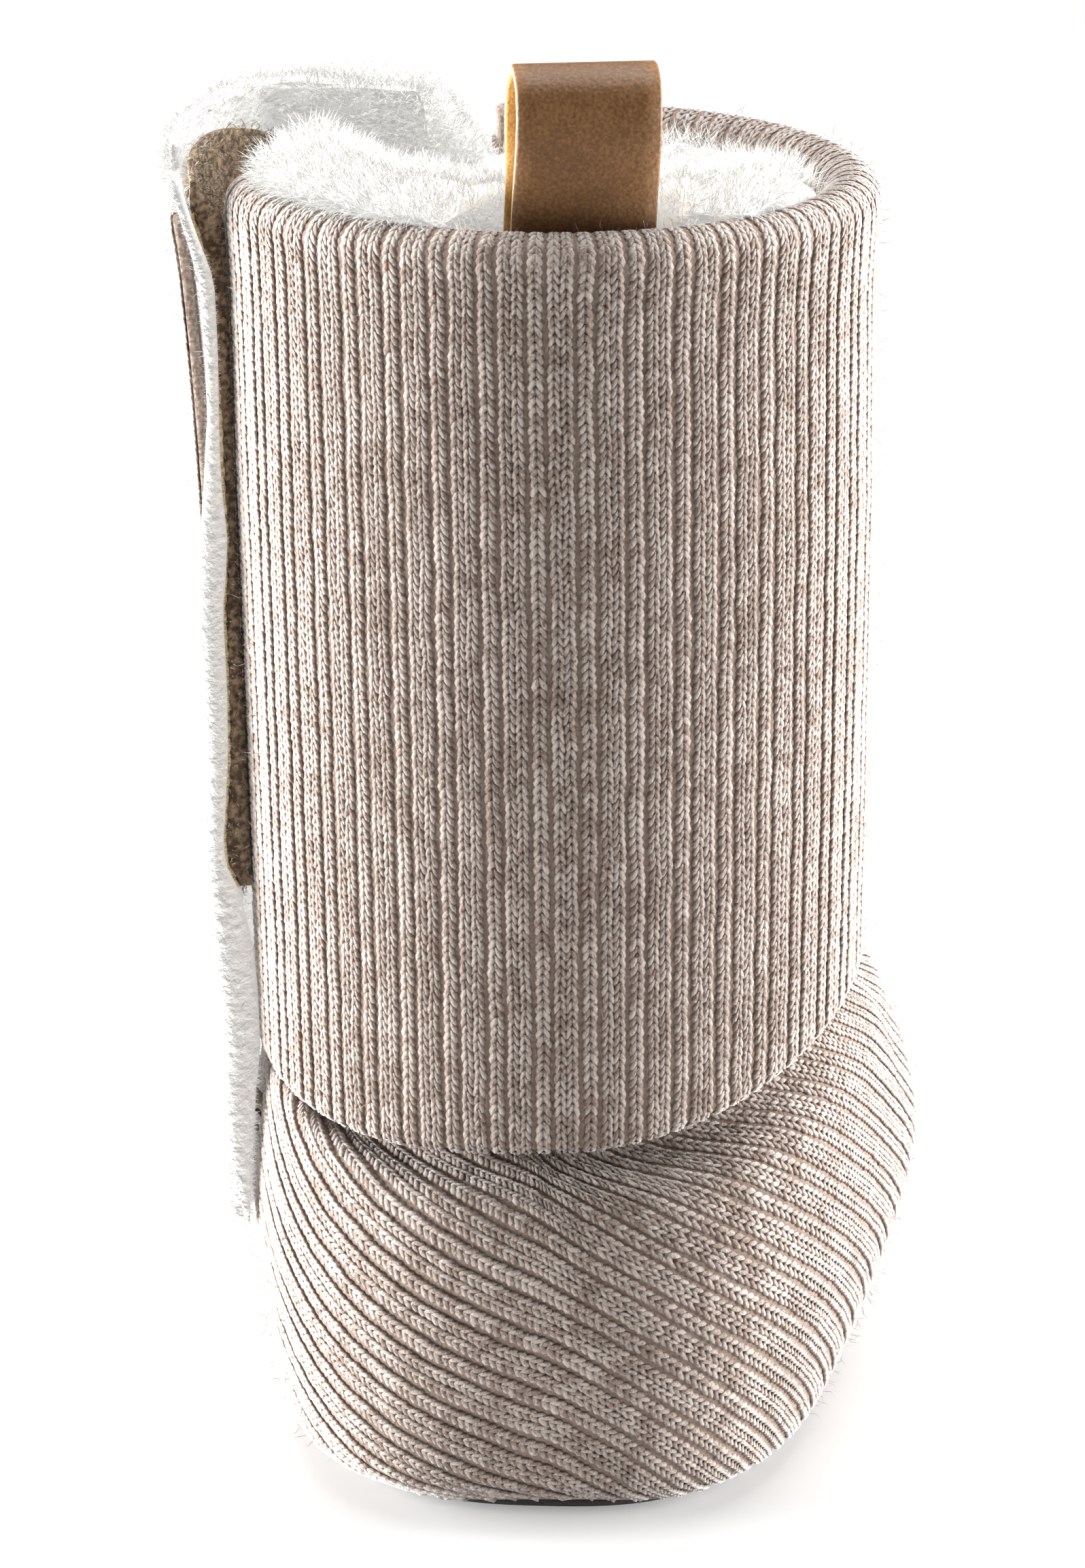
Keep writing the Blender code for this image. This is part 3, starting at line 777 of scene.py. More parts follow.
def points_mesh(name, places, seed, plumpness):
    """Loose flat points for stitches, a little out of line, with their tone and plumpness."""
    chance = random.Random(seed)
    points = []
    for u, v in places:
        wander = noise_vector(Vector((u, v, 0.0)) / WANDER_LENGTH) * WANDER
        across = u + wander.x + chance.uniform(-STITCH_SHIFT, STITCH_SHIFT)
        points.append((across, v + wander.y * WANDER_UP, 0.0))
    mesh = bpy.data.meshes.new(name)
    mesh.from_pydata(points, [], [])
    tones = [yarn_tone(u, v, chance) for u, v in places]
    mesh.attributes.new("tone", "FLOAT", "POINT").data.foreach_set("value", tones)
    plump = [plumpness(v) for _, v in places]
    mesh.attributes.new("plumpness", "FLOAT", "POINT").data.foreach_set("value", plump)
    return mesh


def full(v):
    return 1.0


def knit(name, places, surface, kind, finish, seed, slant=0.0, course=COURSE, plumpness=full):
    """Knit one kind of wale over a surface; plumpness gives the share of relief at a v."""
    wale = WIDE_WALE if kind == "wide" else NARROW_WALE
    values = {
        "Stitch": stitch,
        "Surface": surface,
        "Size": (wale / (2 * HALF_WALE), course / COURSE, 1.0),
        "Slant": slant,
        "Turn Spread": STITCH_TURN,
        "Size Spread": STITCH_SIZE_SPREAD,
        "Seed": seed,
        "Finish": finish,
    }
    return grown_piece(name, points_mesh(name, places, seed, plumpness), knit_tree, values)


def knit_ribs(part, stitches, surface, finish, seed, **options):
    """Knit a part's wide and narrow ribs; stitches gives the flat places of one kind."""
    for place, kind in enumerate(("wide", "narrow")):
        name = part + "_" + kind + "_ribs"
        piece = knit(name, stitches(kind), surface, kind, finish, seed + place, **options)
        ready(piece, part + "_knit")


# %% Yarn finishes
PALE_YARN = colour(0.53, 0.449, 0.397)
DARK_YARN = colour(0.250, 0.178, 0.140)
RUST_FLECK = colour(0.20, 0.065, 0.030)
# Painted shade in the grooves between the ribs
GROOVE_PAINTED_SHADE = colour(0.285, 0.212, 0.172)
# Painted shade where the yarn dives into the fabric
PAINTED_SHADE_YARN = colour(0.310, 0.230, 0.185)
SHADED_YARN = colour(0.50, 0.41, 0.35)
# Painted shade: the flap's yarn and ground are darker copies of the shaft's, making up for the
# stronger light on the bootie's left
FLAP_PAINTED_SHADE = 0.92
FIBRE_GRAIN = 0.00026
FIBRE_STRETCH = (1.0, 1.0, 1.7)
FIBRE_SHARE = 0.62
PATCH_GRAIN = 0.0016
PATCH_SHARE = 0.38
TONE_SHARE = 0.28
PALE_STEP = (0.36, 0.62)
FLECK_GRAIN = 0.0011
FLECK_STEP = (0.71, 0.76)
FLECK_SHARE = 0.75
CREST_STEP = (-0.25, 0.75)
PAINTED_SHADE_SHARE = 0.45
YARN_RELIEF = 0.00012
YARN_SCATTER = 0.50
GROUND_GRAIN = 0.0005
GROUND_STEP = (0.3, 0.7)
GROUND_RELIEF = 0.0002
GROOVE_MIDDLE = WIDE_WALE + 0.5 * GROOVE
GROOVE_STEP = (0.1 * GROOVE / RIB_PERIOD, 0.55 * GROOVE / RIB_PERIOD)


def leaning(graph, towards, share):
    """The way out of the mesh, turned a share of the way towards another direction.

    Light scatters between fibres before it comes back out, which softens their shading.
    """
    outward = graph.output("ShaderNodeTexCoord", None, None, "Normal")
    mixed = graph.vector("ADD", graph.scaled(outward, 1 - share), graph.scaled(towards, share))
    return graph.vector("NORMALIZE", mixed)


def yarn_finish(name, shade):
    """Marl yarn: brown and pale fibres, rust flecks, and painted shade where it dives in."""
    graph = Finish(name, {
        "Roughness": 0.80, "Specular IOR Level": 0.2,
        "Sheen Weight": 1.0, "Sheen Roughness": 0.5,
    })
    fibre = graph.noise(graph.coords, FIBRE_GRAIN, 3.0, FIBRE_STRETCH)
    patch = graph.noise(graph.coords, PATCH_GRAIN)
    tone = graph.attribute("tone") - TONE_MIDDLE
    mixed = fibre * FIBRE_SHARE + patch * PATCH_SHARE + tone * TONE_SHARE
    yarn = graph.blend(graph.step(mixed, *PALE_STEP), DARK_YARN, PALE_YARN)
    fleck = graph.step(graph.noise(graph.coords, FLECK_GRAIN, 1.0), *FLECK_STEP)
    yarn = graph.blend(fleck * FLECK_SHARE, yarn, RUST_FLECK)
    # Painted shade: the yarn is darkened towards the edges and ends of each leg, where it dives
    # into the fabric
    sunk = 1.0 - graph.step(graph.attribute("crest"), *CREST_STEP)
    yarn = graph.blend(sunk * PAINTED_SHADE_SHARE, yarn, PAINTED_SHADE_YARN)
    face = graph.output("ShaderNodeAttribute", {"attribute_name": "outward"}, None, "Vector")
    soft = leaning(graph, face, YARN_SCATTER)
    return graph.done(graph.scaled(yarn, shade), graph.bump(fibre, YARN_RELIEF, soft))


def ground_finish(name, shade):
    """The fabric behind the stitches: yarn under the wales and painted shade in the grooves."""
    graph = Finish(name, {"Roughness": 0.9, "Specular IOR Level": 0.15})
    place = graph.output("ShaderNodeUVMap", {"uv_map": "ribs"})
    across = graph.number("ShaderNodeSeparateXYZ", None, {0: place}, "X")
    turn = graph.math("FRACT", across * (1 / RIB_PERIOD) + 0.5) - 0.5
    off_groove = graph.math("ABSOLUTE", graph.math("ABSOLUTE", turn) - GROOVE_MIDDLE / RIB_PERIOD)
    wale = graph.step(off_groove, *GROOVE_STEP)
    fibre = graph.noise(graph.coords, GROUND_GRAIN, 3.0)
    under = graph.blend(graph.step(fibre, *GROUND_STEP), DARK_YARN, SHADED_YARN)
    # Painted shade: the grooves are coloured darker than the yarn under the wales
    fabric = graph.blend(wale, GROOVE_PAINTED_SHADE, under)
    return graph.done(graph.scaled(fabric, shade), graph.bump(fibre, GROUND_RELIEF))


yarn = yarn_finish("marl_yarn", 1.0)
ground = ground_finish("rib_ground", 1.0)
# The flap's copies are darkened as painted shade
flap_yarn = yarn_finish("flap_yarn", FLAP_PAINTED_SHADE)
flap_back = ground_finish("flap_ground", FLAP_PAINTED_SHADE)
print("knit finishes:", yarn.name, ground.name, flap_yarn.name, flap_back.name)

# %% Fleece finishes
# Painted light: the pile glows a little, which lifts it where it lies in shade
PILE_PAINTED_GLOW = 0.45
PILE_PAINTED_GLOW_COLOUR = colour(1.0, 0.985, 0.95)
PILE_SCATTER = 0.72
TUFT_GRAIN = 0.0012
TUFT_RELIEF = 0.0003
TINT_GRAIN = 0.006
TINT_STEP = (0.4, 0.7)


def fleece_finish(name, pale, cream):
    """White pile, matt and a little creamy in places, with a painted glow that lifts its shade;
    its strands all look lit from above.
    """
    graph = Finish(name, {
        "Roughness": 0.95, "Specular IOR Level": 0.1,
        "Emission Color": PILE_PAINTED_GLOW_COLOUR, "Emission Strength": PILE_PAINTED_GLOW,
    })
    tuft = graph.noise(graph.coords, TUFT_GRAIN, 3.0)
    tint = graph.step(graph.noise(graph.coords, TINT_GRAIN), *TINT_STEP)
    soft = leaning(graph, UP, PILE_SCATTER)
    return graph.done(graph.blend(tint, pale, cream), graph.bump(tuft, TUFT_RELIEF, soft))


fleece = fleece_finish("white_fleece", colour(0.77, 0.76, 0.74), colour(0.73, 0.715, 0.67))
edge_fleece = fleece_finish("edge_fleece", colour(0.83, 0.82, 0.80), colour(0.79, 0.77, 0.73))
print("fleece finishes:", fleece.name, edge_fleece.name)

# %% [markdown]
# ## The shaft
#
# The shaft is a tube of that rib, open at the closure. Its rim is rolled inwards over the
# pile and its hem curls under. One path describes it at any angle: up from inside the hem,
# round its curl, up the wall, over the rim and down inside. The flat v is measured along
# that path, so that the stitches follow every bend at their own size.

# %% Path of the shaft's knitted face
HEM_RADIUS = SHAFT_WALL / 2
HEM_STEPS = 8
HEM_STITCH_TURN = radians(120)
WALL_STEPS = 40
RIM_STEPS = 14
FOLD_STEPS = 4
FOLD_LENGTH = RIM_FOLD_DEPTH - 2 * RIM_RADIUS
EDGE_MARGIN = 0.0030
RIM_RELIEF = 0.40
FLATTER_FROM = -0.0035
FLATTER_TO = 0.0030

PathPoint = namedtuple("PathPoint", "inset z v")


def rim_relief(v):
    """Relief of the rib, as a share of the wall's: the rolled rim stretches it flatter."""
    return mix(1.0, RIM_RELIEF, ramp(v, FLATTER_FROM, FLATTER_TO))


def shaft_path(angle):
    """The shaft's ground under the stitches, from inside its hem to inside its rim."""
    wall_low = hem_height(angle) + HEM_RADIUS
    rest = HEM_RADIUS - GROUND_DEPTH
    path = []
    for step in range(HEM_STEPS + 1):
        turn = pi * (1 - step / HEM_STEPS)
        v = wall_low - WALL_TOP - HEM_RADIUS * turn
        path.append(PathPoint(HEM_RADIUS - rest * cos(turn), wall_low - rest * sin(turn), v))
    for step in range(1, WALL_STEPS):
        z = mix(wall_low, WALL_TOP, step / WALL_STEPS)
        path.append(PathPoint(GROUND_DEPTH * rim_relief(z - WALL_TOP), z, z - WALL_TOP))
    for step in range(RIM_STEPS + 1):
        turn = pi * step / RIM_STEPS
        rest = RIM_RADIUS - GROUND_DEPTH * rim_relief(RIM_RADIUS * turn)
        inset = RIM_RADIUS - rest * cos(turn)
        path.append(PathPoint(inset, WALL_TOP + rest * sin(turn), RIM_RADIUS * turn))
    for step in range(1, FOLD_STEPS + 1):
        drop = FOLD_LENGTH * step / FOLD_STEPS
        inset = RIM_FOLD - GROUND_DEPTH * RIM_RELIEF
        path.append(PathPoint(inset, WALL_TOP - drop, RIM_RADIUS * pi + drop))
    return path


print("path at the heel:", len(shaft_path(radians(270))), "points")

# %% Stitches along a path
ARC_SAMPLES = 2000


def path_surface(name, us, angle_at, path_at, point_at):
    """The face that stitches stand on: paths side by side, with their flat u and v."""
    grid = []
    flat = []
    for u in us:
        angle = angle_at(u)
        path = path_at(angle)
        grid.append([point_at(angle, step.z, step.inset) for step in path])
        flat.append([(u, step.v) for step in path])
    return form_surface(name, np.array(grid), np.array(flat))


def upright_stitches(low, high, kind, lowest, highest):
    """Flat places of one kind of stitch in upright wales; lowest gives a wale's first v."""
    places = []
    for wale in wales_between(low, high, shaft_phase):
        if wale.kind == kind:
            first = math.ceil(lowest(wale.offset) / COURSE)
            last = math.floor(highest / COURSE)
            places += [(wale.offset, course * COURSE) for course in range(first, last + 1)]
    return places


def arc_angles(start, end, point_at):
    """Angles and arc lengths round a ring of points."""
    angles = np.linspace(start, end, ARC_SAMPLES)
    points = np.array([point_at(angle) for angle in angles])
    lengths = np.linalg.norm(np.diff(points, axis=0), axis=1)
    return angles, np.concatenate(([0.0], np.cumsum(lengths)))


SHAFT_LEVEL = 0.115
ARC_MARGIN = 0.1
shaft_angles, shaft_arcs = arc_angles(
    SHAFT_FREE_END - ARC_MARGIN, SHAFT_FRONT_END + ARC_MARGIN,
    lambda angle: shaft_point(angle, SHAFT_LEVEL),
)
shaft_low = between(SHAFT_FREE_END, shaft_angles, shaft_arcs)
shaft_high = between(SHAFT_FRONT_END, shaft_angles, shaft_arcs)


def shaft_angle(u):
    return between(u, shaft_arcs, shaft_angles)


print("shaft is", round((shaft_high - shaft_low) / MM), "mm round")

# %% Shaft ground and its stitches
COLUMN_STEP = 0.0011
NARROW_RIB_X = 0.0007
STITCH_INSIDE_RIM = 0.0012
STITCH_MARGIN = 0.4 * WIDE_WALE


def shaft_ground():
    """The closed wall behind the stitches."""
    count = round((shaft_high - shaft_low) / COLUMN_STEP)
    us = np.linspace(shaft_low, shaft_high, count + 1)
    inner = SHAFT_WALL - GROUND_DEPTH
    fold_end = RIM_HEIGHT - RIM_FOLD_DEPTH
    rings = []
    for u in us:
        angle = shaft_angle(u)
        ring = [shaft_point(angle, place.z, place.inset) for place in shaft_path(angle)]
        ring.append(shaft_point(angle, fold_end + GROUND_DEPTH, (RIM_FOLD + inner) / 2))
        ring.append(shaft_point(angle, fold_end - RIM_RADIUS, inner))
        rings.append(ring)
    return loft("shaft_ground", rings, ground, across=us - shaft_phase)


def shaft_lowest(u):
    """Flat v of the first stitch, tucked under the hem."""
    return hem_height(shaft_angle(u)) + HEM_RADIUS - WALL_TOP - HEM_RADIUS * HEM_STITCH_TURN


def shaft_stitches(kind):
    low = shaft_low + STITCH_MARGIN
    highest = RIM_RADIUS * pi + STITCH_INSIDE_RIM
    return upright_stitches(low, shaft_high - STITCH_MARGIN, kind, shaft_lowest, highest)


heel_angle = radians(270) + NARROW_RIB_X / SHAFT_TABLE[1].half_width
shaft_phase = between(heel_angle, shaft_angles, shaft_arcs) - NARROW_PLACES[0]
us = np.arange(shaft_low - EDGE_MARGIN, shaft_high + EDGE_MARGIN, COLUMN_STEP)
shaft_carrier = path_surface("shaft_surface", us, shaft_angle, shaft_path, shaft_point)
ready(shaft_ground(), "shaft_knit", "shaft")
knit_ribs("shaft", shaft_stitches, shaft_carrier, yarn, seed=11, plumpness=rim_relief)

# %% [markdown]
# ## The foot part
#
# The foot part is the same fabric, but laid on the bias: its ribs run round the foot on a
# slant, down to the right as seen from the heel. In the flat that is the same lattice
# turned by the slant. A turned lattice only meets itself round the foot if its round
# length is a whole number of rib periods and of courses, so the slant and the course
# height are trimmed until it does.

# %% Foot surface
FOOT_COLUMNS = 200
FOOT_CURVE_STEPS = 9
SLANT_WANTED = radians(28.5)
SOLE_OVERLAP = 0.0012
EDGE_OVER_FLOOR = 0.0004
HEEL_LIFT = 0.0010
HEEL_LIFT_ANGLE = radians(274)
HEEL_LIFT_SPREAD = radians(16)


def foot_profile(angle):
    """The foot's outer face at one angle: from round the sole's edge up into the shaft."""
    points = [section_point(section, angle) for section in FOOT_SECTIONS]
    points[0] = section_point(FOOT_SECTIONS[0], angle, -SOLE_OVERLAP)
    lift = HEEL_LIFT * math.exp(-((angle - HEEL_LIFT_ANGLE) / HEEL_LIFT_SPREAD) ** 2)
    points[0].z = EDGE_OVER_FLOOR + underside(points[0].y) + GROUND_DEPTH + lift
    hem = hem_height(angle)
    inset = SHAFT_WALL + SOFT_GAP
    points.append(shaft_point(angle, hem - SOFT_GAP, inset))
    points[-1].z = hem - SOFT_GAP
    points.append(shaft_point(angle, hem + THROAT_TUCK, inset))
    return curve_through(points, FOOT_CURVE_STEPS)


foot_angles, foot_arcs = arc_angles(
    0.0, 2 * pi, lambda angle: section_point(FOOT_SECTIONS[2], angle)
)
foot_round = float(foot_arcs[-1])
foot_us = np.linspace(0.0, foot_round, FOOT_COLUMNS + 1)
foot_grid = np.array([foot_profile(between(u, foot_arcs, foot_angles)) for u in foot_us])
overlapping = np.concatenate((foot_grid[-2:-1], foot_grid, foot_grid[1:2]))
foot_normals = surface_normals(overlapping)[1:-1]
foot_grid = foot_grid - foot_normals * GROUND_DEPTH
steps = np.linalg.norm(np.diff(foot_grid, axis=1), axis=2)
foot_heights = np.concatenate((np.zeros((len(foot_us), 1)), np.cumsum(steps, axis=1)), axis=1)
hem_row = len(foot_grid[0]) - 1 - FOOT_CURVE_STEPS
foot_tops = foot_heights[:, hem_row]
rib_count = round(foot_round * sin(SLANT_WANTED) / RIB_PERIOD)
SLANT = math.asin(rib_count * RIB_PERIOD / foot_round)
course_count = round(foot_round * cos(SLANT) / COURSE)
FOOT_COURSE = foot_round * cos(SLANT) / course_count
print("foot is", round(foot_round / MM), "mm round, with", rib_count, "slanted ribs")

# %% Foot ground and its stitches
FOOT_INNER_DEPTH = 0.0022
FOOT_EXTRA_COLUMNS = 4
STITCH_UNDER_HEM = 0.0020
STITCH_LOWEST = 0.0006


def foot_ground():
    """The closed wall of the foot part behind its stitches."""
    shape = bmesh.new()
    ribs = shape.loops.layers.uv.new("ribs")
    spread = foot_us[:, None] * sin(SLANT) + foot_heights * cos(SLANT)
    outer = [[shape.verts.new(point) for point in column] for column in foot_grid[:-1]]
    inner_grid = foot_grid - foot_normals * FOOT_INNER_DEPTH
    inner = [[shape.verts.new(point) for point in column] for column in inner_grid[:-1]]
    count = len(outer)
    for place in range(count):
        after = (place + 1) % count
        for low in range(len(outer[0]) - 1):
            for side, grid in enumerate((outer, inner)):
                steps = ((place, low), (place + 1, low), (place + 1, low + 1), (place, low + 1))
                face = shape.faces.new([grid[column % count][row] for column, row in steps])
                face.material_index = side
                for corner, step in zip(face.loops, steps):
                    corner[ribs].uv = (spread[step], 0.0)
        for row in (0, -1):
            shape.faces.new(
                (outer[place][row], outer[after][row], inner[after][row], inner[place][row])
            )
    return closed_piece("foot_ground", shape, ground, fleece)


def foot_surface():
    """The foot's face, carried on past both ends so that the last stitches fit too."""
    extra = FOOT_EXTRA_COLUMNS
    last = slice(-1 - extra, -1)
    first = slice(1, 1 + extra)
    grid = np.concatenate((foot_grid[last], foot_grid, foot_grid[first]))
    heights = np.concatenate((foot_heights[last], foot_heights, foot_heights[first]))
    step = foot_round / FOOT_COLUMNS
    across = (np.arange(len(grid)) - extra) * step
    flat = np.stack((np.repeat(across[:, None], grid.shape[1], axis=1), heights), axis=-1)
    return form_surface("foot_surface", grid, flat)


def foot_stitches(kind):
    """Flat places of the foot's stitches of one kind, in a lattice turned by the slant."""
    places = []
    reach = foot_round + foot_tops.max()
    rows = round(reach / FOOT_COURSE)
    for wale in wales_between(-reach, reach, 0.0):
        if wale.kind != kind:
            continue
        for course in range(-rows, rows):
            up = course * FOOT_COURSE
            u = wale.offset * sin(SLANT) - up * cos(SLANT)
            v = wale.offset * cos(SLANT) + up * sin(SLANT)
            if 0.0 <= u < foot_round:
                top = np.interp(u, foot_us, foot_tops) + STITCH_UNDER_HEM
                if STITCH_LOWEST < v < top:
                    places.append((u, v))
    return places


foot_carrier = foot_surface()
ready(foot_ground(), "foot_knit", "upper")
slant = radians(90) - SLANT
knit_ribs(
    "foot", foot_stitches, foot_carrier, yarn, seed=21, slant=slant, course=FOOT_COURSE
)
print("slant", round(math.degrees(SLANT), 2), "course", round(FOOT_COURSE / MM, 3), "mm")

# %% [markdown]
# ## Strands
#
# Pile, fleece, loop tape and stray wool are one thing at different sizes: strands rooted in
# a surface. The surface says, with three attributes, which way its strands are combed, how
# long they are and how thickly they cover it. A geometry tree scatters the roots with a
# fixed seed and puts one small tapered hair on each, turned and sized at random.

# %% A strand
STRAND_SIDES = 3
STRAND_SIZE_SPREAD = 0.3
Station = namedtuple("Station", "up bend radius")
Growth = namedtuple("Growth", "name strand per_square_mm finish seed lean")


def strand_object(name, root, *stations):
    """A closed hair along +Z: a point at its root and tip, and three at stations between."""
    shape = bmesh.new()
    rings = []
    for station in stations[:-1]:
        ring = []
        for side in range(STRAND_SIDES):
            turn = 2 * pi * side / STRAND_SIDES
            x = station.bend + station.radius * cos(turn)
            ring.append(shape.verts.new((x, station.radius * sin(turn), station.up)))
        rings.append(ring)
    base = shape.verts.new((root.bend, 0.0, root.up))
    tip = shape.verts.new((stations[-1].bend, 0.0, stations[-1].up))
    for place in range(STRAND_SIDES):
        after = (place + 1) % STRAND_SIDES
        shape.faces.new((rings[0][place], rings[0][after], base))
        for low, high in zip(rings, rings[1:]):
            shape.faces.new((low[place], low[after], high[after], high[place]))
        shape.faces.new((rings[-1][place], rings[-1][after], tip))
    return closed_piece(name, shape)


# %% The tree that plants strands
def make_strand_tree():
    """Scatter roots over a surface and put a combed strand on each."""
    inputs = {
        "Strand": "Object", "Density": "Float", "Jitter": "Vector", "Size Spread": "Float",
        "Seed": "Int", "Finish": "Material",
    }
    tree, graph, given = new_tree("strands_on_surface", inputs)
    seed = Value(graph, given["Seed"])
    cover = Value(graph, named(graph, "cover", "FLOAT")) * Value(graph, given["Density"])
    sockets = {"Mesh": given["Geometry"], "Density": cover, "Seed": seed}
    roots = graph.output("GeometryNodeDistributePointsOnFaces", None, sockets, "Points")
    sockets = {"Vector": named(graph, "comb")}
    combed = graph.output("FunctionNodeAlignRotationToVector", {"axis": "Z"}, sockets)
    low = graph.scaled(given["Jitter"], -1.0)
    sockets = {"Min": low, "Max": given["Jitter"], "Seed": seed + 1}
    shake = graph.output("FunctionNodeRandomValue", {"data_type": "FLOAT_VECTOR"}, sockets)
    turn = graph.output("FunctionNodeEulerToRotation", None, {0: shake})
    settings = {"rotation_space": "LOCAL"}
    rotation = graph.output("FunctionNodeRotateRotation", settings, {0: combed, 1: turn})
    factor = random_size(graph, given["Size Spread"], seed + 2)
    size = Value(graph, named(graph, "length", "FLOAT")) * factor
    strands = placed(graph, roots, given["Strand"], rotation, size)
    finish_tree(graph, strands, given["Finish"])
    return tree


strand_tree = make_strand_tree()
print("strand tree:", len(strand_tree.nodes), "nodes")


# %% Combing and planting
def locks(point, size, pull=1.0):
    """A lean that neighbouring strands share, and that changes over the given size."""
    return noise_vector(point / size) * pull


def comb_surface(mesh, rule, normals=None):
    """Store how strands lie at each point: the rule gives their comb, length and cover."""
    rows = []
    for index, vertex in enumerate(mesh.vertices):
        normal = vertex.normal if normals is None else normals[index]
        rows.append(rule(vertex.co, normal))
    combs = np.array([row[0] for row in rows], dtype=np.float32)
    mesh.attributes.new("comb", "FLOAT_VECTOR", "POINT").data.foreach_set("vector", combs.ravel())
    for place, name in ((1, "length"), (2, "cover")):
        values = [row[place] for row in rows]
        mesh.attributes.new(name, "FLOAT", "POINT").data.foreach_set("value", values)


def plant(mesh, growth):
    """Grow strands on a combed surface, leaning at random by up to so many degrees."""
    lean = radians(growth.lean)
    values = {
        "Strand": growth.strand,
        "Density": growth.per_square_mm / MM ** 2,
        "Jitter": (lean, lean, pi),
        "Size Spread": STRAND_SIZE_SPREAD,
        "Seed": growth.seed,
        "Finish": growth.finish,
    }
    return grown_piece(growth.name, mesh, strand_tree, values)


def furred(piece, slot, rule, growth, *replaced):
    """Finish a piece and the strands on it, which lie as the rule says."""
    comb_surface(piece.data, rule)
    ready(piece, slot, *replaced)
    ready(plant(piece.data, growth), slot)


# %% [markdown]
# ## The closure flap
#
# The flap is a second layer of the same rib, backed with white fleece. It starts where the
# shaft ends in front, passes over the shaft's free end on the bootie's left, and hangs down
# over the foot with a thin rounded tail. The fleece is thicker than the knit and rolls out
# past it at the free edge, so from behind the edge shows white between knit and tape.

# %% Form of the flap
FLAP_THICKNESS = 0.0030
FLAP_START = radians(105.6)
FLAP_END = radians(194)
FLAP_TOP = RIM_HEIGHT - 0.0045
FLAP_FOOT_HEIGHT = 0.0330
FLAP_CORNER_RISE = 0.0160
FLAP_CORNER_START = radians(180)
FLAP_TAIL_START = radians(146)
FLAP_TAIL_END = radians(174)
FLAP_SWELL_START = radians(116)
FLAP_SWELL_END = radians(178)
FLAP_GAPE_START = radians(158)
FLAP_GAPE = 0.0036
FLAP_ROUNDING = 0.0030
FLAP_FOOT_GAP = 0.0010
FLAP_HEM_SHARE = 0.45
FLAP_HEM_TAPER = 0.0140
PAD_THICKNESS = 0.0007
PAD_BOTTOM = 0.0765
REACH_START = 0.2


def solid_tree(node):
    """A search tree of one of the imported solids."""
    mesh = frame["nodes"][node].data
    corners = [vertex.co.copy() for vertex in mesh.vertices]
    return BVHTree.FromPolygons(corners, [tuple(face.vertices) for face in mesh.polygons])


foot_tree = solid_tree("upper")


def foot_reach(start, direction):
    """How far the foot part reaches from the shaft's axis, 0 where it doesn't."""
    hit = foot_tree.ray_cast(start + direction * REACH_START, -direction, REACH_START)
    return 0.0 if hit[0] is None else (hit[0] - start).length


def flap_tail(angle):
    return ramp(angle, FLAP_TAIL_START, FLAP_TAIL_END)


def flap_corner(angle):
    """0 up to the start of the tail's rounded corner, 1 at the flap's free edge."""
    return max(0.0, (angle - FLAP_CORNER_START) / (FLAP_END - FLAP_CORNER_START))


def flap_bottom(angle):
    """Height of the flap's lower edge: on the hem line in front, down over the foot behind."""
    level = mix(hem_height(angle), FLAP_FOOT_HEIGHT, flap_tail(angle))
    return level + FLAP_CORNER_RISE * flap_corner(angle) ** 2


def flap_share(angle, z):
    """Thickness as a share of the full one: the tail thins towards its lower edge."""
    thinned = mix(FLAP_HEM_SHARE, 1.0, smooth((z - flap_bottom(angle)) / FLAP_HEM_TAPER))
    return mix(1.0, thinned, flap_tail(angle))


def flap_clearance(angle, z):
    """How far the flap's inner face stands outside the shaft's outer face."""
    pad_room = SEAM_GAP + PAD_THICKNESS + SOFT_GAP
    behind = mix(SOFT_GAP, pad_room, ramp(z, HEEL_HEM, PAD_BOTTOM))
    swell = ramp(angle, FLAP_SWELL_START, FLAP_SWELL_END)
    edge_share = ramp(angle, FLAP_GAPE_START, FLAP_END)
    top_share = max(0.0, (z - PAD_BOTTOM) / (RIM_HEIGHT - PAD_BOTTOM))
    return mix(-FLAP_THICKNESS, behind, swell) + FLAP_GAPE * edge_share * top_share ** 3


def flap_point(angle, z, out=0.0):
    """Point outside the flap's inner face by out, clear of both the shaft and the foot."""
    base = shaft_point(angle, z)
    centre = Vector((shaft_row(z).centre_x, 0.0, z))
    direction = (base - centre).normalized()
    over_foot = foot_reach(centre, direction) + FLAP_FOOT_GAP
    over_shaft = (base - centre).length + flap_clearance(angle, z)
    difference = abs(over_foot - over_shaft)
    # Rounds the crease where the larger of the two distances changes
    rounding = 0.25 * max(0.0, FLAP_ROUNDING - difference) ** 2 / FLAP_ROUNDING
    return centre + direction * (max(over_foot, over_shaft) + rounding + out)


print("flap hangs to", round(flap_bottom(FLAP_CORNER_START) / MM, 1), "mm over the floor")

# %% Knitted face of the flap
FLAP_CURL = 0.0011
FLAP_WALL_STEPS = 44
FLAP_CURL_STEPS = 5
FLAP_COLUMNS = 60
FLAP_KNIT_END = radians(192.4)
FLAP_STITCH_START = 0.3 * WIDE_WALE
FLAP_STITCH_END = 0.5 * WIDE_WALE
KNIT_SHORT = radians(1.7)

flap_angles, flap_arcs = arc_angles(
    FLAP_START, FLAP_END + ARC_MARGIN, lambda angle: shaft_point(angle, SHAFT_LEVEL)
)
flap_arcs = flap_arcs + shaft_high


def flap_angle(u):
    return between(u, flap_arcs, flap_angles)


def flap_angle_past(u):
    """The same, carried on past the flap's front edge."""
    return flap_angle(u) + min(0.0, u - flap_arcs[0]) / SHAFT_TABLE[1].half_width


def knit_bottom(angle):
    """The knit's lower edge, which stops short of the fleece round the tail's corner."""
    return flap_bottom(min(angle + KNIT_SHORT * flap_tail(angle), FLAP_END))


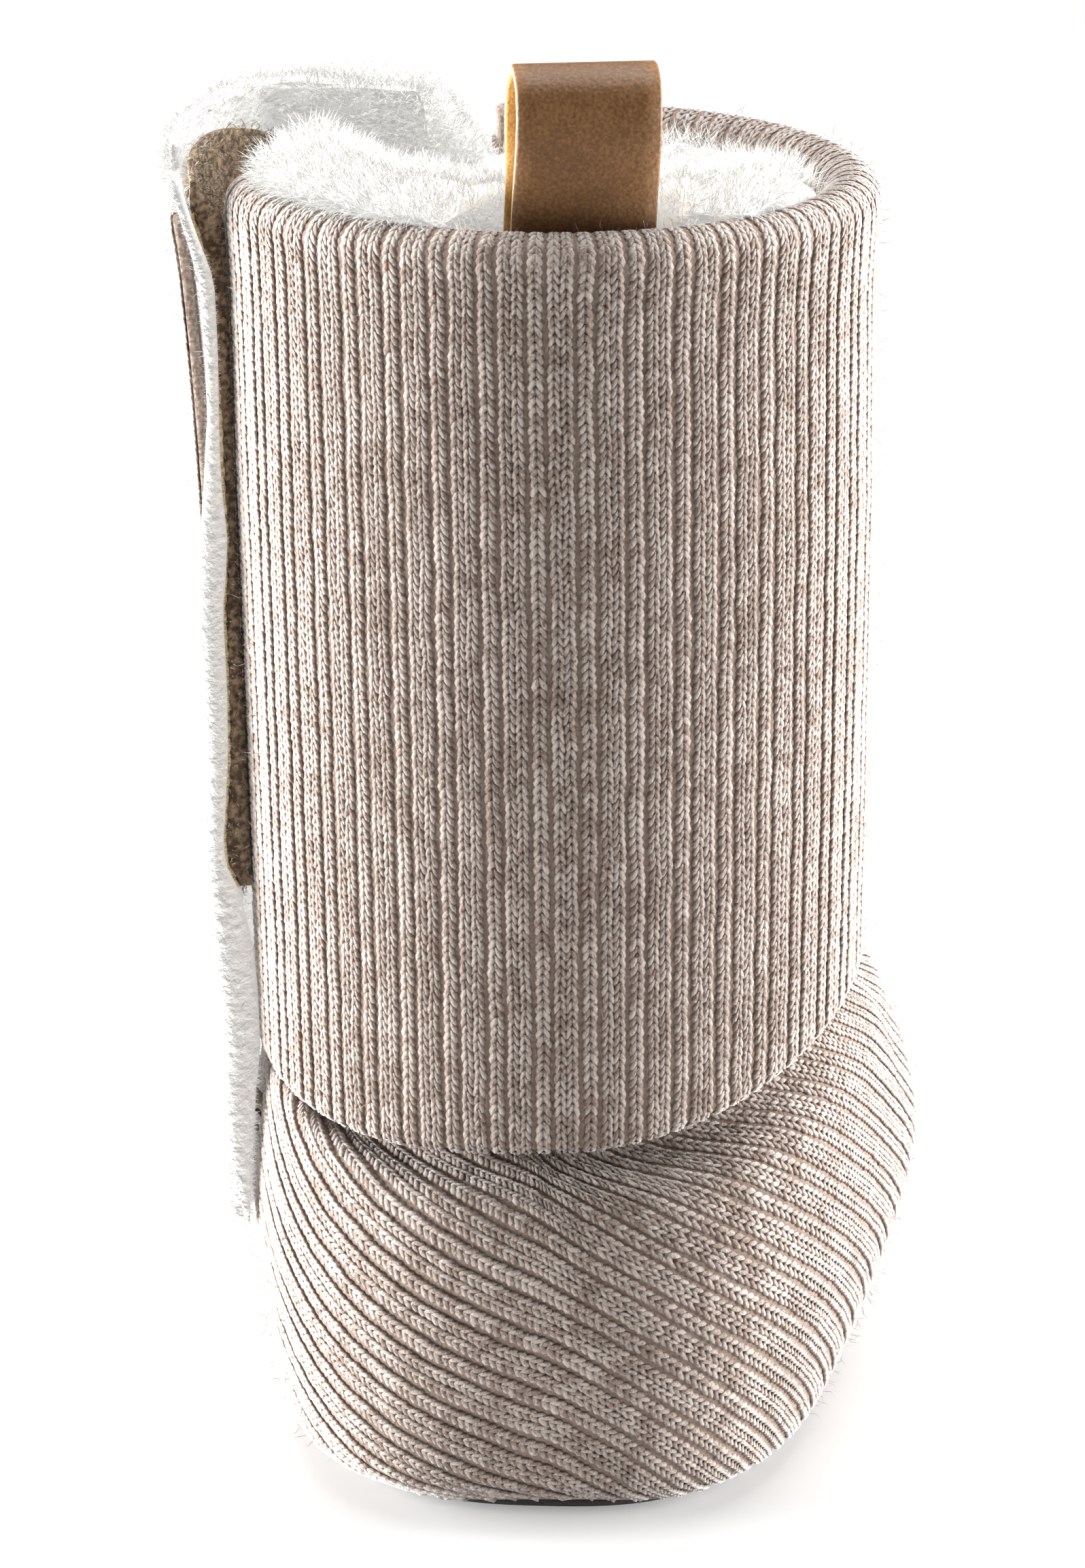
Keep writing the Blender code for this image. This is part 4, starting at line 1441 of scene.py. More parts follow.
def flap_path(angle):
    """The flap's knitted face in steps of out, height and flat v, from curl to curl."""
    bottom = knit_bottom(angle)
    path = []
    for step in range(FLAP_CURL_STEPS):
        turn = pi * (1 - step / FLAP_CURL_STEPS)
        share = flap_share(angle, bottom)
        radius = FLAP_CURL * share
        rest = radius - GROUND_DEPTH * share
        out = FLAP_THICKNESS * share - radius + rest * cos(turn)
        z = bottom + radius - rest * sin(turn)
        path.append(PathPoint(out, z, bottom + radius - WALL_TOP - radius * turn))
    low = bottom + FLAP_CURL * flap_share(angle, bottom)
    for step in range(FLAP_WALL_STEPS + 1):
        z = mix(low, FLAP_TOP - FLAP_CURL, step / FLAP_WALL_STEPS)
        share = flap_share(angle, z)
        path.append(PathPoint((FLAP_THICKNESS - GROUND_DEPTH) * share, z, z - WALL_TOP))
    for step in range(1, FLAP_CURL_STEPS + 1):
        turn = pi * step / FLAP_CURL_STEPS
        rest = FLAP_CURL - GROUND_DEPTH
        out = FLAP_THICKNESS - FLAP_CURL + rest * cos(turn)
        z = FLAP_TOP - FLAP_CURL + rest * sin(turn)
        path.append(PathPoint(out, z, FLAP_TOP - FLAP_CURL - WALL_TOP + FLAP_CURL * turn))
    return path


def flap_ground():
    """The closed knitted layer behind the flap's stitches."""
    rings = []
    angles = np.linspace(FLAP_START, FLAP_KNIT_END, FLAP_COLUMNS)
    for angle in angles:
        path = flap_path(angle)
        ring = [flap_point(angle, step.z, step.inset) for step in path]
        for step in reversed(path[FLAP_CURL_STEPS + 1:-FLAP_CURL_STEPS - 1]):
            share = flap_share(angle, step.z)
            out = (FLAP_THICKNESS - 2 * FLAP_CURL + GROUND_DEPTH) * share
            ring.append(flap_point(angle, step.z, out))
        rings.append(ring)
    across = np.interp(angles, flap_angles, flap_arcs) - shaft_phase
    return loft("flap_ground", rings, flap_back, across=across)


def flap_lowest(u):
    return knit_bottom(flap_angle(u)) - WALL_TOP


def flap_stitches(kind):
    low = flap_arcs[0] + FLAP_STITCH_START
    high = between(FLAP_KNIT_END, flap_angles, flap_arcs) - FLAP_STITCH_END
    return upright_stitches(low, high, kind, flap_lowest, FLAP_TOP - WALL_TOP + FLAP_CURL)


us = np.arange(flap_arcs[0] - EDGE_MARGIN, flap_arcs[-1], COLUMN_STEP)
flap_carrier = path_surface("flap_surface", us, flap_angle_past, flap_path, flap_point)
ready(flap_ground(), "flap_knit", "closure_flap")
knit_ribs("flap", flap_stitches, flap_carrier, flap_yarn, seed=31)

# %% Fleece of the flap
# Height, and inner and outer face of the rolled free edge, measured out from the flap's face
FLEECE_EDGE = (
    (0.0300, -0.0001, 0.0004), (0.0340, -0.0003, 0.0014), (0.0400, -0.0004, 0.0027),
    (0.0500, -0.0005, 0.0038), (0.0680, -0.0006, 0.0044), (0.0760, 0.0006, 0.0043),
    (0.0800, 0.0024, 0.0045), (0.0840, 0.0025, 0.0046), (0.0940, 0.0014, 0.0040),
    (0.1070, 0.0011, 0.0041), (0.1150, 0.0010, 0.0040), (0.1250, 0.0000, 0.0035),
    (0.1320, 0.0000, 0.0022), (0.1410, -0.0003, 0.0012), (0.1520, -0.0009, 0.0009),
    (0.1600, -0.0014, 0.0006), (0.1690, 0.0004, 0.0018), (0.1720, 0.0010, 0.0026),
    (0.1750, 0.0010, 0.0028),
)
FLEECE_SHARE = 0.26
FLEECE_CORNER_RISE = -0.0020
FLEECE_BELOW = 0.0012
FLEECE_LIP = 0.0018
FLEECE_RISE = 0.0056
ROLL_START = radians(192.7)
ROLL_FULL = radians(193.5)
ROLL_END = radians(196.2)
FLEECE_ROWS = 64
FLEECE_FLAT_COLUMNS = 44
FLEECE_ROLL_COLUMNS = 14
FLEECE_LIP_ROWS = 5
FLEECE_LIP_TOP = 0.0006
FLEECE_LIP_ROUNDING = 0.35
LIP_OVER_KNIT = 0.0003
LIP_FADE = 0.0008
EDGE_ROUNDING = (ROLL_END - ROLL_FULL) / 1.6
EDGE_THINNEST = 0.02
EDGE_WAVE = 0.00035
EDGE_WAVES_ROUND = 9
EDGE_WAVE_HEIGHT = 0.011
EDGE_WAVE_PLACE = 4.0
edge_z, edge_inner, edge_outer = np.array(FLEECE_EDGE).T


def fleece_bottom(angle):
    """Height of the fleece's lower edge, which hangs lower than the knit at the corner."""
    hang = (FLAP_CORNER_RISE - FLEECE_CORNER_RISE) * min(flap_corner(angle), 1.0) ** 2
    return flap_bottom(min(angle, FLAP_END)) - hang


def fleece_faces(angle, z):
    """Outer and inner face of the fleece at one place, rounded off at its edges."""
    roll = ramp(angle, ROLL_START, ROLL_FULL)
    inner = mix(0.0, between(z, edge_z, edge_inner), roll)
    below = smooth((knit_bottom(min(angle, FLAP_END)) + LIP_OVER_KNIT - z) / LIP_FADE)
    flat = FLAP_THICKNESS * flap_share(angle, z) * FLEECE_SHARE
    thin = mix(flat, FLEECE_LIP, below * flap_tail(angle))
    outer = mix(thin, between(z, edge_z, edge_outer), roll)
    past = max(0.0, (angle - (ROLL_END - EDGE_ROUNDING)) / EDGE_ROUNDING)
    kept = math.sqrt(max(EDGE_THINNEST, 1 - past ** 2))
    middle = (inner + outer) / 2
    place = Vector((angle * EDGE_WAVES_ROUND, z / EDGE_WAVE_HEIGHT, EDGE_WAVE_PLACE))
    wave = EDGE_WAVE * noise_vector(place).x * roll
    return middle + (outer - middle) * kept + wave, middle + (inner - middle) * kept + wave


def layer_ring(angle, heights, faces):
    """A ring that runs up the outer face of a layer on the flap and down its inner face."""
    up = [flap_point(angle, z, outer) for z, (outer, _) in zip(heights, faces)]
    return up + [flap_point(angle, z, inner) for z, (_, inner) in zip(heights, faces)][::-1]


def flap_fleece():
    flat_part = np.linspace(FLAP_START, ROLL_START, FLEECE_FLAT_COLUMNS)
    rolled_part = np.linspace(ROLL_START, ROLL_END, FLEECE_ROLL_COLUMNS)[1:]
    rings = []
    for angle in np.concatenate((flat_part, rolled_part)):
        bottom = fleece_bottom(angle)
        low = bottom - FLEECE_BELOW * flap_tail(angle)
        lip_top = bottom + FLEECE_LIP_TOP
        lip = np.linspace(low, lip_top, FLEECE_LIP_ROWS + 1)[:-1]
        top = FLAP_TOP + FLEECE_RISE * ramp(angle, ROLL_START, ROLL_FULL)
        heights = np.concatenate((lip, np.linspace(lip_top, top, FLEECE_ROWS)))
        faces = [fleece_faces(angle, z) for z in heights]
        outer, inner = faces[0]
        shares = (1 - FLEECE_LIP_ROUNDING, FLEECE_LIP_ROUNDING)
        faces[0] = [mix(inner, outer, share) for share in shares]
        rings.append(layer_ring(angle, heights, faces))
    return loft("flap_fleece", rings, edge_fleece)


fleece_body = flap_fleece()
fleece_top = max(vertex.co.z for vertex in fleece_body.data.vertices)
print("fleece rises to", round(fleece_top / MM, 1), "mm")

# %% Strands of the fleece
def shaft_place(point):
    """Angle round the shaft, depth inside its outer face, and the way out."""
    row = shaft_row(point.z)
    across = (point.x - row.centre_x) / row.half_width
    along = point.y / row.half_depth
    angle = math.atan2(along, across) % (2 * pi)
    outward = Vector((cos(angle), sin(angle), 0.0))
    return angle, (1 - math.hypot(across, along)) * row.half_width, outward


FLEECE_LOCKS = 0.0016
FLEECE_LOCK_PULL = 0.9
EDGE_LENGTH = 0.34
EDGE_COVER = 0.7
BOTTOM_COVER_HEIGHT = 0.0004
INSIDE_COVER = 0.05
INSIDE_FACING = -0.3


def fleece_rule(point, normal):
    angle, _, outward = shaft_place(point)
    edge = ramp(angle, ROLL_START, ROLL_FULL)
    bottom = knit_bottom(min(angle, FLAP_END)) + BOTTOM_COVER_HEIGHT
    inside = INSIDE_COVER if normal.dot(outward) < INSIDE_FACING else 0.0
    cover = max(edge * EDGE_COVER, 1.0 if point.z < bottom else 0.0, inside)
    comb = normal + locks(point, FLEECE_LOCKS, FLEECE_LOCK_PULL)
    return comb, mix(1.0, EDGE_LENGTH, edge), cover


short_strand = strand_object(
    "short_strand", Station(-0.0002, 0.0, 0.0), Station(0.0005, 0.0001, 0.00006),
    Station(0.0013, 0.0006, 0.0),
)
growth = Growth(
    "flap_fleece_strands", short_strand, per_square_mm=5.4, finish=edge_fleece, seed=41, lean=35
)
furred(fleece_body, "white_pile", fleece_rule, growth)

# %% [markdown]
# ## The fastening pad
#
# The pad is woven loop tape: a thin brown backing with a felt of curled threads. It is sewn
# to the inside of the flap and its selvedge is bound with a yellowish thread. The curls are
# the same strands as in the fleece, only bent over into hooks and coloured like dry grass.

# %% Tape
PAD_START = radians(154)
PAD_END = radians(193.6)
PAD_TOP_RISE = 0.0026
PAD_CORNER_DROP = 0.0032
PAD_SWELL_START = radians(190.8)
PAD_SWELL_FULL = radians(192.4)
PAD_COLUMNS = np.concatenate((np.linspace(0.0, 0.9, 18), np.linspace(0.91, 1.0, 10)))
PAD_ROWS = 50
PAD_TOP_FADE = 0.006
FELT_GAP = 0.0002
SHAFT_ROOM = 0.0004
TAPE_GRAIN = 0.0009
TAPE_STEP = (0.36, 0.66)
TAPE_RELIEF = 0.0003


def tape_finish(name, dark, light):
    graph = Finish(name, {"Roughness": 0.9, "Specular IOR Level": 0.25, "Sheen Weight": 0.2})
    thread = graph.noise(graph.coords, TAPE_GRAIN, 3.0)
    felt = graph.blend(graph.step(thread, *TAPE_STEP), dark, light)
    return graph.done(felt, graph.bump(thread, TAPE_RELIEF))


def pad_top(share):
    return RIM_HEIGHT + PAD_TOP_RISE - PAD_CORNER_DROP * (2 * share - 1) ** 2


def pad_faces(angle, z):
    """The tape's two faces; its felt swells at the free edge until it fills the gap."""
    swell = ramp(angle, PAD_SWELL_START, PAD_SWELL_FULL)
    swell *= smooth((RIM_HEIGHT - z) / PAD_TOP_FADE)
    filled = between(z, edge_z, edge_inner) - FELT_GAP
    near_shaft = SHAFT_ROOM - flap_clearance(angle, z)
    thin = -SOFT_GAP - PAD_THICKNESS
    return mix(-SOFT_GAP, max(filled, -SOFT_GAP), swell), mix(thin, min(near_shaft, thin), swell)


def pad_body():
    rings = []
    for share in PAD_COLUMNS:
        angle = mix(PAD_START, PAD_END, share)
        heights = np.linspace(PAD_BOTTOM, pad_top(share), PAD_ROWS)
        rings.append(layer_ring(angle, heights, [pad_faces(angle, z) for z in heights]))
    return loft("tape_backing", rings, tape)


tape = tape_finish("loop_tape", colour(0.090, 0.056, 0.034), colour(0.38, 0.270, 0.170))
curls = tape_finish("tape_curls", colour(0.16, 0.105, 0.062), colour(0.50, 0.385, 0.26))
selvedge_finish = tape_finish("selvedge", colour(0.42, 0.30, 0.14), colour(0.74, 0.62, 0.40))
print("tape finishes:", tape.name, curls.name, selvedge_finish.name)

# %% Curls of the tape
CURL_LOCKS = 0.0012
OUTER_FACING = 0.5
HIDDEN_CURLS = 0.15
CURLS_FROM = 0.155
CURLS_FADE = 0.010


def curl_rule(point, normal):
    angle, _, outward = shaft_place(point)
    if normal.dot(outward) > OUTER_FACING and angle < PAD_SWELL_START:
        cover = 0.0
    elif angle > PAD_SWELL_START:
        cover = 1.0
    else:
        cover = mix(HIDDEN_CURLS, 1.0, smooth((point.z - CURLS_FROM) / CURLS_FADE))
    return normal + locks(point, CURL_LOCKS), 1.0, cover


curl = strand_object(
    "curl", Station(-0.0002, 0.0, 0.0), Station(0.0006, 0.0001, 0.00006),
    Station(0.0010, 0.0006, 0.00005), Station(0.0006, 0.0010, 0.0),
)
growth = Growth("tape_curls", curl, per_square_mm=1.8, finish=curls, seed=51, lean=45)
furred(pad_body(), "loop_tape", curl_rule, growth, "fastening_pad")

# %% Selvedge of the tape
THREAD_TURNS = 90
THREAD_SIDES = 6
THREAD_RADIUS = 0.00026
THREAD_OVERHANG = 0.006
THREAD_SWAY = 0.00012
THREAD_PITCH = 0.0004


def spokes(count):
    """Directions round a circle."""
    turns = [2 * pi * side / count for side in range(count)]
    return [Vector((cos(turn), sin(turn), 0.0)) for turn in turns]


def selvedge():
    """A thread wound along the tape's free edge, beside the fleece."""
    rings = []
    for z in np.linspace(PAD_BOTTOM, FLAP_TOP, THREAD_TURNS):
        outer, _ = pad_faces(PAD_END, z)
        middle = flap_point(PAD_END + THREAD_OVERHANG, z, outer)
        sway = Vector((THREAD_SWAY * sin(z / THREAD_PITCH), 0.0, 0.0))
        rings.append([middle + spoke * THREAD_RADIUS + sway for spoke in spokes(THREAD_SIDES)])
    return loft("tape_selvedge", rings, selvedge_finish)


ready(selvedge(), "loop_tape")

# %% [markdown]
# ## The pile
#
# Long white pile lines the leg and stands up over the rim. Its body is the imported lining,
# rounded by one level of subdivision. Over the rolled rim it is drawn outwards, and at the
# closure its end is drawn along, because loose pile spreads into any free room. The strands
# stand in locks: neighbours share a direction that changes every few millimetres.

# %% Body of the pile
RIM_SPREAD = 0.0040
SPREAD_HEIGHT = 0.0004
SPREAD_FLOOR = 0.05
SPREAD_START = radians(188)
SPREAD_END = radians(330)
SPREAD_FADE = radians(14)
SPREAD_INSET = 0.004
SPREAD_INSET_FADE = 0.002
SPREAD_DEPTH = 0.012
SPREAD_DEPTH_FADE = 0.004
SPREAD_ABOVE = 0.0015
RISE_BELOW = 0.001
RISE_FADE = 0.004
DROP_FADE = 0.006
END_ANGLE = radians(193.5)
END_PULL = radians(3.6)
END_FADE = radians(13)
END_OVERLAP = 0.02
END_DEPTH = 0.012
PILE_LUMP = 0.0009
PILE_LUMP_SIZE = 0.0030
MERGE_DISTANCE = 1e-6
# Degrees round the shaft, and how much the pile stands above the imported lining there
PILE_LEVELS = (
    (0, -0.0004), (60, 0.0), (88, 0.0), (98, -0.0062), (111, -0.0062), (117, -0.0042),
    (123, 0.0002), (131, 0.0021), (150, 0.0026), (168, 0.0028), (178, 0.0010), (185, -0.0004),
    (200, 0.0), (225, -0.0003), (250, -0.0018), (285, -0.0024), (330, -0.0020), (360, -0.0004),
)
level_degrees, level_rises = np.array(PILE_LEVELS).T


def smooth_copy(node, name, finish):
    """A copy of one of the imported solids, as one closed mesh, rounded by one subdivision."""
    shape = bmesh.new()
    shape.from_mesh(frame["nodes"][node].data)
    bmesh.ops.remove_doubles(shape, verts=shape.verts, dist=MERGE_DISTANCE)
    made = closed_piece(name, shape, finish)
    rounding = made.modifiers.new("rounding", "SUBSURF")
    rounding.levels = 1
    graph = bpy.context.evaluated_depsgraph_get()
    plain = bpy.data.meshes.new_from_object(made.evaluated_get(graph), depsgraph=graph)
    made.modifiers.clear()
    made.data = plain
    return made


def over_rim(angle):
    """Where round the shaft the pile spills over the rolled rim."""
    begun = smooth((angle - SPREAD_START) / SPREAD_FADE)
    return begun * smooth((SPREAD_END - angle) / SPREAD_FADE)


def spread_pile(point):
    """Where the pile's body lies once it has spread over the rim and along the closure."""
    angle, inset, _ = shaft_place(point)
    height = point.z - RIM_HEIGHT
    above = smooth((height + SPREAD_ABOVE) / SPREAD_ABOVE)
    deep = smooth((SPREAD_DEPTH - inset) / SPREAD_DEPTH_FADE)
    share = deep * smooth((inset - SPREAD_INSET) / SPREAD_INSET_FADE) * above
    share *= over_rim(angle)
    rise = between(math.degrees(angle), level_degrees, level_rises)
    if rise > 0:
        rise *= smooth((height + RISE_BELOW) / RISE_FADE)
    else:
        rise *= smooth((height + DROP_FADE) / DROP_FADE)
    if END_ANGLE - END_OVERLAP < angle < END_ANGLE + END_FADE and height > -END_DEPTH:
        angle -= END_PULL * (1 - smooth((angle - END_ANGLE) / END_FADE))
    moved = shaft_point(angle, point.z, inset - RIM_SPREAD * share)
    moved.z += rise
    if share > SPREAD_FLOOR:
        moved.z = max(moved.z, RIM_HEIGHT + SPREAD_HEIGHT * share)
    return moved


pile = smooth_copy("plush_lining", "pile_body", fleece)
for vertex in pile.data.vertices:
    lump = noise_vector(vertex.co / PILE_LUMP_SIZE) * PILE_LUMP
    vertex.co = spread_pile(vertex.co) + lump
pile.data.update()
print("pile body:", len(pile.data.vertices), "points")

# %% Strands of the pile
DEEP_LENGTH = 0.75
BEAD_LENGTH = 0.8
LOW_LENGTH = 0.55
LOW_PILE_START = radians(92)
LOW_PILE_END = radians(117)
FLAP_PILE_START = radians(120)
BEAD_PILE_START = radians(150)
FLAP_PILE_END = radians(189)
PILE_LOCKS = 0.0026
PILE_LOCK_PULL = 0.8
PILE_LIFT = 0.25
CREST_LIFT = 0.45
CREST_DEPTH = 0.010
CREST_FADE = 0.011
SPILL = 0.7
SPILL_DEPTH = 0.0150
SPILL_FADE = 0.006
BEAD_INSET = 0.003
RIM_MARGIN = 0.0003
OUTWARD_FACING = 0.1
UPWARD_FACING = 0.3
DEEP_COVER = 0.02
COVER_DEPTH = 0.019
COVER_FADE = 0.015


def pile_rule(point, normal):
    angle, inset, outward = shaft_place(point)
    height = point.z - RIM_HEIGHT
    facing = normal.dot(outward)
    on_flap = FLAP_PILE_START < angle < FLAP_PILE_END and inset < BEAD_INSET
    lowest = FLAP_TOP - RIM_HEIGHT if on_flap else -RIM_MARGIN
    hidden = facing > OUTWARD_FACING and height < lowest
    over_tape = on_flap and angle > BEAD_PILE_START
    over_tape = over_tape and facing < -OUTWARD_FACING and normal.z < UPWARD_FACING
    crest = smooth((height + CREST_DEPTH) / CREST_FADE)
    comb = normal + UP * mix(PILE_LIFT, CREST_LIFT, crest)
    comb += locks(point, PILE_LOCKS, PILE_LOCK_PULL)
    comb += outward * crest * smooth((SPILL_DEPTH - inset) / SPILL_FADE) * over_rim(angle) * SPILL
    bead = ramp(angle, FLAP_PILE_START, BEAD_PILE_START)
    length = mix(DEEP_LENGTH, 1.0, crest) * mix(1.0, BEAD_LENGTH, bead if on_flap else 0.0)
    if LOW_PILE_START < angle < LOW_PILE_END:
        length *= LOW_LENGTH
    cover = mix(DEEP_COVER, 1.0, smooth((height + COVER_DEPTH) / COVER_FADE))
    return comb, length, 0.0 if hidden or over_tape else cover


long_strand = strand_object(
    "long_strand", Station(-0.0005, 0.0, 0.0), Station(0.0013, 0.0002, 0.000055),
    Station(0.0032, 0.0014, 0.0),
)
growth = Growth(
    "pile_strands", long_strand, per_square_mm=5.6, finish=fleece, seed=61, lean=30
)
furred(pile, "white_pile", pile_rule, growth, "plush_lining")

# %% [markdown]
# ## The pull loop
#
# The loop is a strap of thick leather, folded over and sewn down inside the rim. It is a
# rounded rectangle swept along its path. The outside is smooth grain leather, the inside is
# raw suede in ochre, and the knife left the edges pale, so the sweep has three finishes.

# %% Strap
LOOP_WIDTH = 0.0190
LOOP_THICKNESS = 0.0015
LOOP_ANGLE = radians(280.5)
LOOP_SKEW = 0.0008
LOOP_LEAN = 0.0011
LOOP_FLAT_HEIGHT = 0.0140
LOOP_EDGE_RADIUS = 0.00032
LOOP_PATH_STEPS = 6
LOOP_ACROSS_STEPS = 8
LoopStep = namedtuple("LoopStep", "inward up")
LOOP_ROUTE = (
    LoopStep(0.00075, -0.0090), LoopStep(0.00075, 0.0010), LoopStep(0.00000, 0.0070),
    LoopStep(-0.00040, 0.0130), LoopStep(0.00100, 0.0176), LoopStep(0.00560, 0.0195),
    LoopStep(0.01000, 0.0172), LoopStep(0.01100, 0.0130), LoopStep(0.00830, 0.0088),
    LoopStep(0.00410, 0.0053), LoopStep(0.00275, 0.0000), LoopStep(0.00275, -0.0090),
)


def strap_section():
    """The strap's outline as (across, out, finish) steps: 0 grain, 1 suede, 2 cut edge."""
    half_width = LOOP_WIDTH / 2
    half_thick = LOOP_THICKNESS / 2
    flat = half_width - LOOP_EDGE_RADIUS
    section = []
    for sign, face in ((1, 0), (-1, 1)):
        for step in range(LOOP_ACROSS_STEPS + 1):
            across = mix(-flat, flat, step / LOOP_ACROSS_STEPS) * sign
            section.append((across, half_thick * sign, face))
        corner = half_thick - LOOP_EDGE_RADIUS
        section.append((half_width * sign, corner * sign, 2))
        section.append((half_width * sign, -corner * sign, 1 - face))
    return section


print("strap outline:", len(strap_section()), "corners")

# %% Leather
SLOW_GRAIN = 0.006
SPECK_SIZE = 0.7
SPECK_SHARE = 0.7
SLOW_SHARE = 0.3
HIDE_STEP = (0.38, 0.64)
PEBBLE_HEIGHT = 0.6
SPECK_HEIGHT = 0.4


def leather_finish(name, dark, light, grain, relief, roughness):
    """Hide with a fine mottle; a second, slower noise makes it uneven."""
    graph = Finish(name, {"Roughness": roughness, "Specular IOR Level": 0.3})
    sockets = {"Vector": graph.coords, "Scale": 1 / grain}
    pebble = graph.number("ShaderNodeTexVoronoi", None, sockets)
    speck = graph.noise(graph.coords, grain * SPECK_SIZE, 3.0)
    slow = graph.noise(graph.coords, SLOW_GRAIN)
    share = graph.step(speck * SPECK_SHARE + slow * SLOW_SHARE, *HIDE_STEP)
    height = pebble * PEBBLE_HEIGHT + speck * SPECK_HEIGHT
    return graph.done(graph.blend(share, dark, light), graph.bump(height, relief))


grain_side = leather_finish(
    "tan_grain", colour(0.146, 0.067, 0.022), colour(0.240, 0.117, 0.044),
    grain=0.00065, relief=0.00008, roughness=0.55,
)
suede_side = leather_finish(
    "ochre_suede", colour(0.48, 0.26, 0.075), colour(0.66, 0.40, 0.14),
    grain=0.0005, relief=0.0001, roughness=0.9,
)
cut_side = leather_finish(
    "cut_edge", colour(0.72, 0.55, 0.34), colour(0.90, 0.76, 0.54),
    grain=0.0004, relief=0.0001, roughness=0.8,
)
print("leather finishes:", grain_side.name, suede_side.name, cut_side.name)

# %% Sweep of the strap
def pull_strap():
    route = [Vector((0.0, step.inward, step.up)) for step in LOOP_ROUTE]
    path = curve_through(route, LOOP_PATH_STEPS)
    rim_radius = SHAFT_TABLE[-1].half_depth - RIM_FOLD
    place = shaft_point(LOOP_ANGLE, RIM_HEIGHT, RIM_FOLD + 2 * SEAM_GAP)
    turn = LOOP_ANGLE - radians(270)
    section = strap_section()
    rings = []
    for index, point in enumerate(path):
        ahead = path[min(index + 1, len(path) - 1)] - path[max(index - 1, 0)]
        outside = Vector((0.0, -ahead.z, ahead.y)).normalized()
        share = index / (len(path) - 1)
        skew = LOOP_SKEW * smooth(share) - LOOP_LEAN * sin(pi * share)
        ring = []
        for across, out, _ in section:
            bow = across ** 2 / (2 * rim_radius) * (1 - smooth(point.z / LOOP_FLAT_HEIGHT))
            local = Vector((across - skew, point.y + bow, point.z)) + outside * out
            x = local.x * cos(turn) - local.y * sin(turn)
            y = local.x * sin(turn) + local.y * cos(turn)
            ring.append(place + Vector((x, y, local.z)))
        rings.append(ring)
    kinds = [kind for _, _, kind in section]
    return loft("pull_strap", rings, grain_side, suede_side, cut_side, kinds=kinds)


ready(pull_strap(), "tan_leather", "pull_loop")

# %% [markdown]
# ## Sole and insole
#
# The sole is a thin sheet of grip material with a rounded edge and small domes under heel
# and ball. The insole is fleece. Both are slabs with the foot's outline, built from rings,
# and their flat faces are strips across the foot, so they follow the arch and the toe.

# %% Slabs
SLAB_HALF_COUNT = 60
GRIP_DOT_HEIGHT = 0.0005
RUBBER_DARK = colour(0.022, 0.021, 0.020)
RUBBER_LIGHT = colour(0.060, 0.057, 0.055)
WEAVE_GRAIN = 0.0008
WEAVE_RELIEF = 0.00015


def slab(name, levels, finish):
    """A slab with the foot's outline; levels are (inset, height) pairs from bottom to top."""
    step = pi / SLAB_HALF_COUNT
    angles = [-pi / 2 + step * (place + 0.5) for place in range(SLAB_HALF_COUNT)]
    angles += [pi - angle for angle in reversed(angles)]
    shape = bmesh.new()
    rings = []
    for inset, height in levels:
        ring = []
        for angle in angles:
            point = section_point(FOOT_SECTIONS[0], angle, inset)
            point.z = height + underside(point.y)
            ring.append(shape.verts.new(point))
        rings.append(ring)
    bridge(shape, rings)
    for ring in (rings[0], rings[-1]):
        for place in range(SLAB_HALF_COUNT - 1):
            shape.faces.new((ring[place], ring[place + 1], ring[-2 - place], ring[-1 - place]))
    return closed_piece(name, shape, finish)


def grip_finish():
    graph = Finish("sole_grip", {"Roughness": 0.75, "Specular IOR Level": 0.3})
    weave = graph.noise(graph.coords, WEAVE_GRAIN, 3.0)
    rubber = graph.blend(weave, RUBBER_DARK, RUBBER_LIGHT)
    return graph.done(rubber, graph.bump(weave, WEAVE_RELIEF))


rubber_finish = grip_finish()
sole_levels = (
    (2 * SOLE_EDGE_RADIUS, GRIP_DOT_HEIGHT),
    (0.4 * SOLE_EDGE_RADIUS, GRIP_DOT_HEIGHT + 0.2 * SOLE_EDGE_RADIUS),
    (0.0, GRIP_DOT_HEIGHT + SOLE_EDGE_RADIUS),
    (0.0, SOLE_THICKNESS - SOLE_EDGE_RADIUS),
    (SOLE_EDGE_RADIUS, SOLE_THICKNESS),
)
ready(slab("sole_sheet", sole_levels, rubber_finish), "sole_grip", "sole")

# %% Grip domes
GRIP_DOT_RADIUS = 0.0014
GRIP_PITCH = 0.0046
GRIP_SIDES = 8
GRIP_TIP_SHARE = 0.62
GRIP_OVERLAP = 0.0003
GRIP_MARGIN = 0.004
GRIP_LEFT = -0.0299
GRIP_RIGHT = 0.0285
SOLE_SQUARE = 2.5


def inside_sole(x, y):
    """Whether a place lies within the sole's outline."""
    section = FOOT_SECTIONS[0]
    along = (y - (section.toe_y + section.heel_y) / 2) / ((section.toe_y - section.heel_y) / 2)
    if abs(along) >= 1:
        return False
    half_width = mix(section.heel_half, section.ball_half, smooth((1 + along) / 2))
    across = abs((x - section.centre_x) / half_width)
    return across ** SOLE_SQUARE + abs(along) ** SOLE_SQUARE < 1


def add_dome(shape, x, y):
    """One low dome: a rim sunk into the sheet and a smaller flat tip below it."""
    middle = Vector((x, y, underside(y)))
    base = []
    for spoke in spokes(GRIP_SIDES):
        rim = middle + spoke * GRIP_DOT_RADIUS + UP * (GRIP_DOT_HEIGHT + GRIP_OVERLAP)
        base.append(shape.verts.new(rim))
    tip = []
    for corner in base:
        point = middle.lerp(corner.co, GRIP_TIP_SHARE)
        tip.append(shape.verts.new(Vector((point.x, point.y, middle.z))))
    bridge(shape, (base, tip))
    shape.faces.new(base)
    shape.faces.new(tip)


